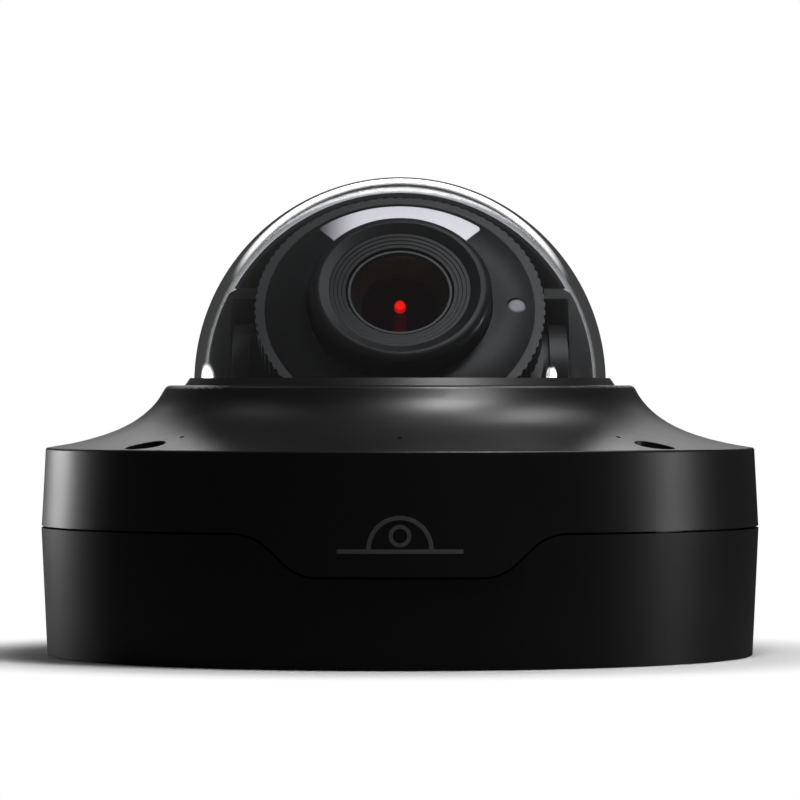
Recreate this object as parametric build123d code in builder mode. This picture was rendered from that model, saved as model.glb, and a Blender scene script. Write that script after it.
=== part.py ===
from build123d import *
from math import acos, asin, cos, degrees, pi, radians, sin, sqrt, tan
import os

# A surface-mount dome camera. Millimetres, +Z up through the clear bubble, and the lens looks
# towards -Y. The origin is the centre of the face that goes against the ceiling or wall.

os.makedirs("parts", exist_ok=True)

# ---------------------------------------------------------------- driving dimensions
# Clear bubble and the trim ring at its foot
bubble_radius = 45.0
bubble_wall = 2.0
bubble_centre_z = 59.0
flange_width = 3.5
flange_wall = 2.5
seal_wall = 0.8
trim_width = 1.9
trim_rise = 1.6
trim_crest_width = 0.8

# Top cover: ledge, concave skirt, drafted wall and front tongue
ledge_drop = 0.5
ledge_width = 3.0
ledge_wall = 2.5
ledge_round = 1.5
ledge_under_inset = 1.0
skirt_drop = 13.6
skirt_start_slope = 63.0
skirt_end_slope = 8.0
skirt_top_handle = 7.5
skirt_rim_handle = 15.0
cover_taper = 0.95
edge_round = 0.5
seam_radius = 78.3
seam_z = 27.8
cover_wall = 2.9
skirt_under_lift = 0.5
wall_step_low = 4.0
wall_step_high = 8.0
rib_height = 3.0
rib_gap = 0.4
rib_slack = 0.2
tongue_drop = 8.9
tongue_top_half = 30.5
tongue_foot_half = 21.0
tongue_corner = 10.0

# Base housing
base_taper = 1.3
base_wall = 5.7
base_floor_wall = 2.8
scoop_depth = 0.5
scoop_half = 25.0
scoop_band = 2.1
plate_wall = 2.0
plate_rim_step = 0.6
plate_round = 0.4
plate_bolt_circle = 110.0
plate_bolt_hole = 2.3
plate_head_radius = 5.0
plate_head_height = 1.9

# Cover fastenings
recess_edge = 1.05
screw_angles = (48.0, 132.0, -48.0, -132.0)
recess_radius = 4.3
recess_wall = 1.3
boss_sink = 0.5
gasket_width = 1.4
gasket_wall = 1.2
gasket_seat_edge = 0.7
shoulder_gap = 0.5
screw_shank_radius = 1.95
screw_head_radius = 3.9
screw_head_height = 3.0
screw_head_round = 1.4
socket_radius = 1.9
socket_depth = 1.6
socket_pin_radius = 0.6
screw_seat_z = 33.5
screw_engagement = 12.0

# Microphones under the skirt
microphone_inset = 12.35
microphone_angles = (0.0, 45.0, -45.0)
microphone_hole_radius = 0.55
microphone_radius = 1.9
microphone_height = 2.4
microphone_boss_wall = 0.3

# Bubble retainer
retainer_wall = 2.0
retainer_bolt_radius = 53.0
retainer_screw_count = 6
retainer_rim = 3.0
retainer_collar = 6.2
retainer_bore_gap = 0.4
retainer_boss_radius = 2.6
retainer_boss_height = 5.5
retainer_hole_depth = 4.5

# Small pan-head screws with a cross slot: retainer, pan ring and main board
small_screw_radius = 1.15
small_screw_hole = 1.2
small_screw_clear = 1.4
small_head_radius = 2.3
small_head_height = 1.6
small_head_round = 0.7
small_slot_length = 2.6
small_slot_width = 0.6
small_slot_depth = 0.8
retainer_screw_grip = 4.0
board_screw_grip = 3.0
pan_screw_grip = 6.0

# Pan stage
turntable_wall = 2.5
turntable_z = 18.0
turntable_flange_width = 1.8
spigot_radius = 17.94
spigot_bore_radius = 14.0
tube_wall = 4.0
bearing_wall = 0.95
pan_ring_width = 9.4
pan_ring_gap = 0.4
pan_ring_margin = 0.5
spigot_lift = 3.0
pan_ring_wall = 2.0
pan_post_radius = 3.0
pan_post_angles = (30.0, 150.0, 270.0)

# Yoke cheeks and the liner behind the ball
yoke_radius = 42.2
cheek_rise = 20.8
cheek_flange_x = 31.3
cheek_flange_wall = 2.5
cheek_wall_x = 36.4
cheek_top_half = 4.0
cheek_pivot_half = 14.0
cheek_chamfer_x = 34.7
cheek_chamfer_drop = 1.5
cheek_corner = 1.5
cheek_bevel = 0.4
liner_wall = 1.0
liner_lean = 2.0
pivot_pin_radius = 3.0
pivot_head_radius = 5.5
pivot_head_height = 1.9
pivot_head_sink = 0.8
pivot_slot_length = 7.0
pivot_slot_width = 1.2
pivot_slot_depth = 1.0
pivot_pin_gap = 1.0
washer_radius = 9.0
washer_wall = 0.35
hub_radius = 13.0
hub_neck_radius = 11.0
hub_thickness = 3.8

# Camera ball: everything is measured along and about the optical axis from the pivot
rest_elevation = 36.0
ball_radius = 28.5
ball_wall = 1.6
cradle_wall = 2.2
cradle_half = 11.0
shell_joint = 6.0
ball_shoulder = -10.0
ball_back = -27.0
ball_back_radius = 20.0
rear_hole_radius = 5.0
sensor_post_lift = 5.0
sensor_post_inset = 2.0
sensor_post_radius = 1.8
face_rim = 26.9
face_bulge = 0.35
face_inner = 28.6
hood_radius = 19.4
hood_front = 34.5
hood_mouth_radius = 17.0
hood_chamfer_depth = 0.8
hood_cone_radius = 15.0
hood_throat_gap = 0.5
hood_seat = 23.4
hood_step_count = 4
hood_step_taper = 0.15
hood_cone_gap = 0.4
hood_flange = 1.4
hood_round = 2.2
rim_back = 20.5
rim_front = 26.7
rim_radius = 30.6
rim_scallops = 90
scallop_radius = 0.8
scallop_depth = 0.3
window_inner = 20.6
window_outer = 27.6
window_half_angle = 40.0
window_corner = 1.2
window_end_gap = 0.3
window_cut_back = 3.0
window_cut_length = 8.0
light_sensor_radius = 1.9
light_sensor_offset = 24.6
light_sensor_back = 2.0
light_sensor_length = 3.0
lamp_board_drop = 1.2
lamp_board_wall = 1.0
lamp_board_gap = 2.0
lamp_board_margin = 0.3
lamp_board_half_angle = 42.0
lamp_board_corner = 0.6
lamp_circle_radius = 24.0
lamp_angles = (-26.0, 0.0, 26.0)
lamp_radius = 1.7
lamp_height = 1.6
lamp_round = 0.7

# Lens and what drives it
barrel_radius = 11.0
barrel_bore = 7.4
barrel_front = 32.7
barrel_lip = 0.6
front_glass_seat = 28.3
front_glass_gap = 0.4
front_glass_sink = 0.4
front_glass_rise = 1.4
barrel_cone = 2.0
rear_glass_at = 25.4
rear_glass_wall = 2.0
rear_glass_rise = 1.3
iris_wall = 0.6
iris_position = 21.0
iris_hole_radius = 2.2
gear_module = 0.5
ring_wall = 2.375
pinion_teeth = 16
gear_tip = 0.9
gear_root = 1.25
gear_width = 4.0
gear_backlash = 0.12
zoom_ring_at = 8.0
focus_ring_at = 15.0
motor_radius = 4.2
motor_back = -4.0
motor_front = 6.5
motor_shaft_radius = 0.75
zoom_motor_angle = -50.0
focus_motor_angle = -130.0
lens_block_half_x = 17.0
lens_block_half_y = 8.5
lens_block_wall = 1.0
lens_block_back = -6.0
lens_block_front = -1.5
filter_half_y = 4.5
filter_wall = 0.8
filter_travel = 10.0
sensor_board_radius = 22.0
sensor_half_x = 4.4
sensor_half_y = 3.4
sensor_height = 1.2
sensor_margin = 1.0
board_wall = 1.4

# Main board and what stands on it
main_board_z = 9.0
main_board_wall = 1.6
main_board_inset = 9.6
board_gap = 0.4
board_tube_gap = 2.0
board_screw_inset = 5.0
board_screw_angles = (45.0, 135.0, 225.0, 315.0)
base_screw_inset = 12.6
base_screw_angles = (0.0, 120.0, 240.0)
base_screw_radius = 1.45
base_screw_tip_z = 0.4
base_head_radius = 3.0
base_head_height = 2.0
base_head_round = 0.8
base_slot_length = 3.2
base_slot_width = 0.7
jack_length = 21.0
jack_width = 16.0
jack_height = 13.5
jack_inset = 3.6
jack_latch_depth = 3.0
jack_socket_depth = 14.0
jack_socket_width = 11.8
jack_socket_height = 8.2
transformer_place = (22.0, 54.0)
transformer_length = 13.0
transformer_width = 9.0
transformer_height = 6.0
capacitor_places = ((-17.0, 58.0), (-17.0, 48.0))
capacitor_radius = 4.0
capacitor_height = 9.0
component_round = 0.5
led_place = (48.0, -22.0)
led_length = 3.2
led_width = 1.8
led_height = 1.2
desiccant_place = (26.0, -50.0)
desiccant_length = 20.0
desiccant_width = 12.0
desiccant_height = 4.0
desiccant_round = 1.5
gland_y = 36.0
gland_bore_radius = 3.1
gland_neck_radius = 7.0
gland_lip = 2.0
gland_lip_wall = 1.6
gland_lip_taper = 1.0
gland_plate_gap = 4.0
chip_size = 14.0
chip_height = 1.5
heat_spreader_size = 20.0
heat_spreader_height = 4.6
heat_spreader_y = -34.0
fin_count = 7
fin_floor = 1.4
fin_wall = 1.1
card_length = 15.0
card_width = 11.0
card_wall = 0.7
card_corner = 0.8
card_proud = 1.5
card_socket_wall = 1.2
card_socket_height = 1.9
card_socket_x = -56.0
card_socket_y = -5.0
button_x = 56.0
button_y = -8.0
button_size = 6.0
button_height = 3.5
button_radius = 1.7
button_travel = 0.4
button_rise = 1.2
button_round = 0.3
switch_floor = 1.0

# Named clearances
slip = 0.1              # between pieces that slide together by hand
running = 0.05          # between a shaft and its bore
swing = 0.3             # between curved faces that turn past each other
seam_gap = 0.45         # shadow gap between the cover and the base
screw_clearance = 0.15  # round a screw's shank
overlap = 1.0           # how far a cutting tool runs past the face it cuts

# ---------------------------------------------------------------- dependent dimensions
bubble_bore = bubble_radius - bubble_wall
ledge_z = bubble_centre_z - ledge_drop
edge_radius = seam_radius - cover_taper
foot_radius = seam_radius - base_taper
screw_circle_radius = edge_radius - recess_edge - recess_radius
microphone_circle_radius = edge_radius - microphone_inset
cover_opening = bubble_radius + slip + trim_width + slip
ledge_edge = cover_opening + ledge_width
ledge_under_z = ledge_z - ledge_wall
flange_top_z = ledge_under_z - seal_wall
flange_under_z = flange_top_z - flange_wall
flange_radius = bubble_radius + flange_width
cover_edge_z = ledge_z - skirt_drop
cover_seam_z = seam_z + seam_gap / 2
base_rim_z = seam_z - seam_gap / 2
base_bore = seam_radius - base_wall
main_board_radius = base_bore - main_board_inset
board_screw_circle_radius = main_board_radius - board_screw_inset
base_screw_circle_radius = base_bore - base_screw_inset
jack_y = base_bore - jack_inset - jack_width / 2
base_floor_z = plate_wall + 2 * slip + base_floor_wall
boss_radius = recess_radius + recess_wall
plate_radius = base_bore + plate_rim_step
gasket_outer = plate_radius + gasket_width + 2 * running
gasket_keepout = boss_radius + gasket_seat_edge
shoulder_radius = gasket_outer + shoulder_gap
retainer_top_z = flange_under_z - retainer_collar
retainer_bore = bubble_bore + retainer_bore_gap
turntable_top_z = turntable_z + turntable_wall
turntable_radius = yoke_radius + turntable_flange_width
tube_radius = spigot_radius + running + tube_wall
pan_ring_bore = yoke_radius + pan_ring_gap
pan_ring_z = turntable_top_z + swing
pan_post_circle = pan_ring_bore + pan_ring_width - pan_post_radius - pan_ring_margin
board_top_z = main_board_z + main_board_wall
liner_bore = yoke_radius - liner_wall
cheek_top_z = bubble_centre_z + cheek_rise
hub_face_x = cheek_wall_x - washer_wall - running
cradle_bore = ball_radius + swing
cradle_radius = cradle_bore + cradle_wall
face_opening = hood_radius + swing
hood_throat_radius = barrel_radius + hood_throat_gap
front_glass_radius = barrel_radius - barrel_lip
ring_teeth = round(2 * (barrel_radius + ring_wall) / gear_module + 2 * gear_root)
gear_centres = gear_module * (ring_teeth + pinion_teeth) / 2
rest_tilt = radians(rest_elevation)


def around(radius, angle):
    """A point on a circle about the vertical axis, its angle counted from the front."""
    return (radius * sin(radians(angle)), -radius * cos(radians(angle)))


def polar(radius, angle):
    """A point on a circle, its angle counted from +X."""
    return (radius * cos(radians(angle)), radius * sin(radians(angle)))


# The optical axis is optic's normal, and section is the plane that holds it and the X axis.
optic = Plane(
    origin=(0, 0, bubble_centre_z),
    x_dir=(1, 0, 0),
    z_dir=(0, -cos(rest_tilt), sin(rest_tilt)),
)
section = Plane(origin=optic.origin, x_dir=optic.x_dir, z_dir=-optic.y_dir)
optic_axis = Axis(optic.origin, optic.z_dir)

screw_points = [around(screw_circle_radius, angle) for angle in screw_angles]
microphone_points = [around(microphone_circle_radius, angle) for angle in microphone_angles]
pan_post_points = [polar(pan_post_circle, angle) for angle in pan_post_angles]
board_screw_points = [polar(board_screw_circle_radius, angle) for angle in board_screw_angles]
base_screw_points = [polar(base_screw_circle_radius, angle) for angle in base_screw_angles]


def skirt_curve(start, end):
    """The concave skirt: steep where it leaves the ledge and nearly level at the edge."""
    steep = radians(skirt_start_slope)
    level = radians(skirt_end_slope)
    first = Vector(start) + Vector(cos(steep), -sin(steep)) * skirt_top_handle
    second = Vector(end) - Vector(cos(level), -sin(level)) * skirt_rim_handle
    return Bezier(Vector(start), first, second, Vector(end))


def seam_outline(drop):
    """The seam from the front, with its rounded step down at the tongue, lowered by drop."""
    side = seam_radius + overlap
    top_z = cover_seam_z - drop
    foot_z = top_z - tongue_drop
    return FilletPolyline(
        (-side, top_z),
        (-tongue_top_half, top_z),
        (-tongue_foot_half, foot_z),
        (tongue_foot_half, foot_z),
        (tongue_top_half, top_z),
        (side, top_z),
        radius=tongue_corner,
    )


def rim_band(outer_radius, inner_radius, grow):
    """A band that follows the rim and steps inside each screw boss."""
    with BuildSketch() as band:
        Circle(outer_radius)
        with Locations(*screw_points):
            Circle(gasket_keepout - grow, mode=Mode.SUBTRACT)
        with BuildSketch(mode=Mode.PRIVATE) as inside:
            Circle(inner_radius)
            with Locations(*screw_points):
                Circle(gasket_keepout + gasket_width + grow, mode=Mode.SUBTRACT)
        add(inside.sketch, mode=Mode.SUBTRACT)
    return band.sketch


def ring_sector(inner_radius, outer_radius, half_angle, corner):
    """Part of a ring, centred on +Y, with rounded corners."""
    with BuildSketch() as sector:
        with BuildLine():
            outer = CenterArc((0, 0), outer_radius, 90 - half_angle, 2 * half_angle)
            inner = CenterArc((0, 0), inner_radius, 90 - half_angle, 2 * half_angle)
            Line(outer @ 0, inner @ 0)
            Line(outer @ 1, inner @ 1)
        make_face()
        fillet(sector.vertices(), corner)
    return sector.sketch


def gear_outline(teeth, phase):
    """An involute spur gear's outline, with one tooth centred at phase degrees from +X."""
    pressure = radians(20)
    pitch_radius = gear_module * teeth / 2
    base_radius = pitch_radius * cos(pressure)
    tip_radius = pitch_radius + gear_tip * gear_module
    root_radius = pitch_radius - gear_root * gear_module
    thickness = pi * gear_module / 2 - gear_backlash
    at_base = thickness / (2 * pitch_radius) + tan(pressure) - pressure
    flank = []
    for step in range(4):
        radius = base_radius + (tip_radius - base_radius) * step / 3
        roll = acos(base_radius / radius)
        flank.append((radius, at_base - tan(roll) + roll))
    tooth = [(root_radius, -at_base)]
    tooth += [(radius, -half) for radius, half in flank]
    tooth += [(radius, half) for radius, half in reversed(flank)]
    tooth += [(root_radius, at_base)]
    points = []
    for number in range(teeth):
        centre = radians(phase) + 2 * pi * number / teeth
        points += [(r * cos(centre + turn), r * sin(centre + turn)) for r, turn in tooth]
    return points


def dome_arc(radius, edge_at, rise):
    """A glass's front face in section, from its edge to its crown on the axis."""
    curve = (radius**2 + rise**2) / (2 * rise)
    sweep = degrees(asin(radius / curve))
    return CenterArc((0, edge_at + rise - curve), curve, 90 - sweep, sweep)


# ---------------------------------------------------------------- cover body
# Clear hemisphere with a short neck and a flange that the retainer clamps.
with BuildPart() as dome_bubble:
    with BuildSketch(Plane.XZ):
        with BuildLine():
            outer = CenterArc((0, bubble_centre_z), bubble_radius, 0, 90)
            inner = CenterArc((0, bubble_centre_z), bubble_bore, 0, 90)
            Line(outer @ 1, inner @ 1)
            Polyline(
                outer @ 0,
                (bubble_radius, flange_top_z),
                (flange_radius, flange_top_z),
                (flange_radius, flange_under_z),
                (bubble_bore, flange_under_z),
                inner @ 0,
            )
        make_face()
    revolve(axis=Axis.Z)
dome_bubble.part.label = "dome_bubble"
export_step(dome_bubble.part, "parts/dome_bubble.step")

# Rubber seal between the bubble's flange and the ledge.
with BuildPart() as bubble_seal:
    with BuildSketch(Plane.XY.offset(flange_top_z)):
        Circle(flange_radius)
        Circle(bubble_radius + slip, mode=Mode.SUBTRACT)
    extrude(amount=seal_wall)
bubble_seal.part.label = "bubble_seal"
export_step(bubble_seal.part, "parts/bubble_seal.step")

# Trim ring that fills the step between the bubble's foot and the ledge.
with BuildPart() as bubble_trim:
    trim_bore = bubble_radius + slip
    trim_outer = trim_bore + trim_width
    with BuildSketch(Plane.XZ):
        with BuildLine():
            Polyline(
                (trim_bore, ledge_under_z),
                (trim_outer, ledge_under_z),
                (trim_outer, ledge_z),
                (trim_bore + trim_crest_width, ledge_z + trim_rise),
                (trim_bore, ledge_z + trim_rise),
                close=True,
            )
        make_face()
    revolve(axis=Axis.Z)
bubble_trim.part.label = "bubble_trim"
export_step(bubble_trim.part, "parts/bubble_trim.step")

# Everything under the seam's outline at the front, used to shape the cover's tongue.
with BuildPart() as under_seam:
    with BuildSketch(Plane.XZ):
        with BuildLine():
            edge = seam_outline(0)
            Polyline(
                edge @ 0,
                (-seam_radius - overlap, -overlap),
                (seam_radius + overlap, -overlap),
                edge @ 1,
            )
        make_face()
    extrude(amount=seam_radius + overlap)
    with BuildSketch(Plane.XY.offset(-overlap)):
        with Locations((0, seam_radius / 2 + overlap / 2)):
            Rectangle(2 * (seam_radius + overlap), seam_radius + overlap)
    extrude(amount=cover_seam_z + overlap)

# Top cover: ledge, concave skirt and drafted wall, with a tongue that hangs over the base.
with BuildPart() as top_cover:
    with BuildSketch(Plane.XZ):
        wall_draft = (seam_radius - edge_radius) / (cover_edge_z - seam_z)
        tongue_z = cover_seam_z - tongue_drop
        tongue_radius = seam_radius + wall_draft * (seam_z - tongue_z)
        rim_bore = edge_radius - cover_wall
        skirt_under_z = cover_edge_z - cover_wall + skirt_under_lift
        with BuildLine():
            ledge = Line((cover_opening, ledge_z), (ledge_edge, ledge_z))
            shoulder = JernArc(ledge @ 1, (1, 0), ledge_round, -skirt_start_slope)
            skirt = skirt_curve(shoulder @ 1, (edge_radius, cover_edge_z))
            under = skirt_curve(
                (ledge_edge - ledge_under_inset, ledge_under_z), (rim_bore, skirt_under_z)
            )
            Polyline(
                skirt @ 1,
                (tongue_radius, tongue_z - overlap),
                (shoulder_radius + slip, tongue_z - overlap),
                (shoulder_radius + slip, base_rim_z + gasket_wall + wall_step_low),
                (rim_bore, base_rim_z + gasket_wall + wall_step_high),
                under @ 1,
            )
            Polyline(under @ 0, (cover_opening, ledge_under_z), ledge @ 0)
        make_face()
    revolve(axis=Axis.Z)
    rim_edges = top_cover.edges().filter_by(GeomType.CIRCLE)
    rim_edges = rim_edges.filter_by(lambda e: abs(e.radius - edge_radius) < 0.01)
    fillet(rim_edges, edge_round)
    add(under_seam.part, mode=Mode.SUBTRACT)
    # Rib that presses the gasket onto the base's rim.
    with BuildSketch(Plane.XY.offset(base_rim_z + gasket_wall)):
        add(rim_band(shoulder_radius + overlap, base_bore + rib_gap, rib_slack))
    extrude(amount=rib_height)
    # Bosses for the captive screws, for the retainer's screws and for the microphones.
    with BuildSketch(Plane.XY.offset(base_rim_z + slip)):
        with Locations(*screw_points):
            Circle(boss_radius)
        Circle(edge_radius - cover_wall / 2, mode=Mode.INTERSECT)
    extrude(amount=cover_edge_z - base_rim_z - slip - boss_sink)
    with BuildSketch(Plane.XY.offset(retainer_top_z)):
        with PolarLocations(retainer_bolt_radius, retainer_screw_count):
            Circle(retainer_boss_radius)
    extrude(amount=retainer_boss_height)
    with BuildSketch(Plane.XY.offset(cover_edge_z - cover_wall)):
        with Locations(*microphone_points):
            Circle(microphone_radius + microphone_boss_wall)
    extrude(amount=cover_wall + overlap)
    # Recess and hole of each captive screw.
    with BuildSketch(Plane.XY.offset(screw_seat_z)):
        with Locations(*screw_points):
            Circle(recess_radius)
    extrude(amount=ledge_z - screw_seat_z, mode=Mode.SUBTRACT)
    with BuildSketch(Plane.XY.offset(base_rim_z)):
        with Locations(*screw_points):
            Circle(screw_shank_radius + screw_clearance)
    extrude(amount=screw_seat_z - base_rim_z, mode=Mode.SUBTRACT)
    with BuildSketch(Plane.XY.offset(retainer_top_z)):
        with PolarLocations(retainer_bolt_radius, retainer_screw_count):
            Circle(small_screw_hole)
    extrude(amount=retainer_hole_depth, mode=Mode.SUBTRACT)
    with BuildSketch(Plane.XY.offset(cover_edge_z - cover_wall - overlap)):
        with Locations(*microphone_points):
            Circle(microphone_hole_radius)
    extrude(amount=ledge_z - cover_edge_z, mode=Mode.SUBTRACT)
top_cover.part.label = "top_cover"
export_step(top_cover.part, "parts/top_cover.step")

# Ring under the bubble's flange, screwed up into the cover.
with BuildPart() as bubble_retainer:
    with BuildSketch(Plane.XY.offset(retainer_top_z - retainer_wall)):
        Circle(retainer_bolt_radius + retainer_rim)
        Circle(retainer_bore, mode=Mode.SUBTRACT)
        with PolarLocations(retainer_bolt_radius, retainer_screw_count):
            Circle(small_screw_clear, mode=Mode.SUBTRACT)
    extrude(amount=retainer_wall)
    with BuildSketch(Plane.XY.offset(retainer_top_z)):
        Circle(flange_radius - slip)
        Circle(retainer_bore, mode=Mode.SUBTRACT)
    extrude(amount=flange_under_z - retainer_top_z)
bubble_retainer.part.label = "bubble_retainer"
export_step(bubble_retainer.part, "parts/bubble_retainer.step")

# Its six pan-head screws.
with BuildPart() as retainer_screws:
    head_z = retainer_top_z - retainer_wall
    with BuildSketch(Plane.XY.offset(head_z - small_head_height)):
        with PolarLocations(retainer_bolt_radius, retainer_screw_count):
            Circle(small_head_radius)
    extrude(amount=small_head_height)
    fillet(retainer_screws.edges().group_by(Axis.Z)[0], small_head_round)
    with BuildSketch(Plane.XY.offset(head_z)):
        with PolarLocations(retainer_bolt_radius, retainer_screw_count):
            Circle(small_screw_radius)
    extrude(amount=retainer_wall + retainer_screw_grip)
    with BuildSketch(Plane.XY.offset(head_z - small_head_height)):
        with PolarLocations(retainer_bolt_radius, retainer_screw_count):
            Rectangle(small_slot_length, small_slot_width)
            Rectangle(small_slot_width, small_slot_length)
    extrude(amount=small_slot_depth, mode=Mode.SUBTRACT)
retainer_screws.part.label = "retainer_screws"
export_step(retainer_screws.part, "parts/retainer_screws.step")

# Captive tamper-resistant screws, deep in the cover's four recesses.
with BuildPart() as cover_screws:
    with BuildSketch(Plane.XY.offset(screw_seat_z)):
        with Locations(*screw_points):
            Circle(screw_head_radius)
    extrude(amount=screw_head_height)
    fillet(cover_screws.edges().group_by(Axis.Z)[-1], screw_head_round)
    with BuildSketch(Plane.XY.offset(screw_seat_z + screw_head_height - socket_depth)):
        with Locations(*screw_points):
            RegularPolygon(socket_radius, 6)
            Circle(socket_pin_radius, mode=Mode.SUBTRACT)
    extrude(amount=socket_depth, mode=Mode.SUBTRACT)
    with BuildSketch(Plane.XY.offset(base_rim_z - screw_engagement)):
        with Locations(*screw_points):
            Circle(screw_shank_radius)
    extrude(amount=screw_seat_z - base_rim_z + screw_engagement)
cover_screws.part.label = "cover_screws"
export_step(cover_screws.part, "parts/cover_screws.step")

# Microphone capsules under the pinholes.
with BuildPart() as microphones:
    with BuildSketch(Plane.XY.offset(cover_edge_z - cover_wall - microphone_height)):
        with Locations(*microphone_points):
            Circle(microphone_radius)
    extrude(amount=microphone_height)
microphones.part.label = "microphones"
export_step(microphones.part, "parts/microphones.step")

# ---------------------------------------------------------------- base body
# What the tongue leaves out of the base: all that is above the lowered seam, outside the rim.
with BuildPart() as tongue_notch:
    with BuildSketch(Plane.XZ):
        with BuildLine():
            edge = seam_outline(seam_gap)
            Polyline(
                edge @ 0,
                (-seam_radius - overlap, seam_z + overlap),
                (seam_radius + overlap, seam_z + overlap),
                edge @ 1,
            )
        make_face()
    extrude(amount=seam_radius + overlap)
    with BuildSketch():
        Circle(shoulder_radius)
    extrude(amount=seam_z + 2 * overlap, mode=Mode.SUBTRACT)

# A shallow scoop under the tongue: a flatter cone with the wall's own draft, so that its
# depth fades out evenly at both sides.
with BuildPart() as front_scoop:
    band_drop = seam_gap + scoop_band
    sagitta = foot_radius - sqrt(foot_radius**2 - scoop_half**2) - scoop_depth
    scoop_radius = (scoop_half**2 + sagitta**2) / (2 * sagitta)
    scoop_axis_y = scoop_radius - foot_radius + scoop_depth
    rise = seam_z + overlap
    spread = (seam_radius - foot_radius) / base_rim_z
    with BuildSketch(Plane.XZ):
        with BuildLine():
            edge = seam_outline(band_drop)
            Polyline(
                edge @ 0,
                (-seam_radius - overlap, -overlap),
                (seam_radius + overlap, -overlap),
                edge @ 1,
            )
        make_face()
    extrude(amount=seam_radius + overlap)
    with BuildSketch(Plane((0, scoop_axis_y, 0), x_dir=(1, 0, 0), z_dir=(0, -1, 0))):
        with BuildLine():
            Polyline(
                (0, -overlap),
                (scoop_radius - spread * overlap, -overlap),
                (scoop_radius + spread * rise, rise),
                (0, rise),
                close=True,
            )
        make_face()
    revolve(axis=Axis((0, scoop_axis_y, 0), (0, 0, 1)), mode=Mode.SUBTRACT)

# Base housing: drafted wall, floor, screw bosses in the rim and the pan stage's tube.
with BuildPart() as base_housing:
    with BuildSketch(Plane.XZ):
        with BuildLine():
            Polyline(
                (0, 0),
                (foot_radius, 0),
                (seam_radius, base_rim_z),
                (0, base_rim_z),
                close=True,
            )
        make_face()
    revolve(axis=Axis.Z)
    with BuildSketch(Plane.XY.offset(base_floor_z)):
        Circle(base_bore)
        with Locations(*screw_points):
            Circle(gasket_keepout + gasket_width + gasket_seat_edge, mode=Mode.SUBTRACT)
    extrude(amount=base_rim_z, mode=Mode.SUBTRACT)
    with BuildSketch():
        Circle(plate_radius)
    extrude(amount=plate_wall + 2 * slip, mode=Mode.SUBTRACT)
    add(tongue_notch.part, mode=Mode.SUBTRACT)
    add(front_scoop.part, mode=Mode.SUBTRACT)
    with BuildSketch(Plane.XY.offset(base_floor_z)):
        Circle(tube_radius)
        Circle(spigot_radius + running, mode=Mode.SUBTRACT)
    extrude(amount=turntable_z - bearing_wall - running - base_floor_z)
    with BuildSketch(Plane.XY.offset(base_floor_z)):
        with Locations(*pan_post_points):
            Circle(pan_post_radius)
    extrude(amount=pan_ring_z - base_floor_z)
    with BuildSketch(Plane.XY.offset(base_floor_z)):
        with Locations(*board_screw_points):
            Circle(pan_post_radius)
    extrude(amount=main_board_z - base_floor_z)
    # Threaded holes: cover, pan ring and board. Clearance holes: base screws and gland.
    with BuildSketch(Plane.XY.offset(base_rim_z)):
        with Locations(*screw_points):
            Circle(screw_shank_radius + screw_clearance)
    extrude(amount=-screw_engagement - overlap, mode=Mode.SUBTRACT)
    with BuildSketch(Plane.XY.offset(pan_ring_z)):
        with Locations(*pan_post_points):
            Circle(small_screw_hole)
    extrude(amount=-pan_screw_grip - 2 * overlap, mode=Mode.SUBTRACT)
    with BuildSketch(Plane.XY.offset(main_board_z)):
        with Locations(*board_screw_points):
            Circle(small_screw_hole)
    extrude(amount=-board_screw_grip - overlap / 2, mode=Mode.SUBTRACT)
    with BuildSketch(Plane.XY.offset(base_floor_z)):
        with Locations(*base_screw_points):
            Circle(base_screw_radius + screw_clearance)
        with Locations((0, gland_y)):
            Circle(gland_neck_radius + running)
    extrude(amount=-base_floor_wall, mode=Mode.SUBTRACT)
    # Relief over the heads of the screws that hold the plate to the ceiling.
    with BuildSketch(Plane.XY.offset(plate_wall)):
        with PolarLocations(plate_bolt_circle / 2, 4, start_angle=45):
            Circle(plate_head_radius)
    extrude(amount=plate_head_height, mode=Mode.SUBTRACT)
base_housing.part.label = "base_housing"
export_step(base_housing.part, "parts/base_housing.step")

# Steel plate that is screwed to the ceiling first.
with BuildPart() as mounting_plate:
    with BuildSketch():
        Circle(plate_radius - slip)
        with PolarLocations(plate_bolt_circle / 2, 4, start_angle=45):
            Circle(plate_bolt_hole, mode=Mode.SUBTRACT)
        with Locations((0, gland_y)):
            Circle(gland_neck_radius + gland_lip + gland_plate_gap, mode=Mode.SUBTRACT)
        with Locations(*base_screw_points):
            Circle(base_screw_radius + running, mode=Mode.SUBTRACT)
    extrude(amount=plate_wall)
    fillet(mounting_plate.edges().filter_by(GeomType.CIRCLE).sort_by(SortBy.RADIUS)[-2:], plate_round)
mounting_plate.part.label = "mounting_plate"
export_step(mounting_plate.part, "parts/mounting_plate.step")

# Screws that hold the base to the plate.
with BuildPart() as base_screws:
    with BuildSketch(Plane.XY.offset(base_floor_z)):
        with Locations(*base_screw_points):
            Circle(base_head_radius)
    extrude(amount=base_head_height)
    fillet(base_screws.edges().group_by(Axis.Z)[-1], base_head_round)
    with BuildSketch(Plane.XY.offset(base_floor_z + base_head_height / 2)):
        with Locations(*base_screw_points):
            Rectangle(base_slot_length, base_slot_width)
            Rectangle(base_slot_width, base_slot_length)
    extrude(amount=base_head_height / 2, mode=Mode.SUBTRACT)
    with BuildSketch(Plane.XY.offset(base_screw_tip_z)):
        with Locations(*base_screw_points):
            Circle(base_screw_radius)
    extrude(amount=base_floor_z - base_screw_tip_z)
base_screws.part.label = "base_screws"
export_step(base_screws.part, "parts/base_screws.step")

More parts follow.
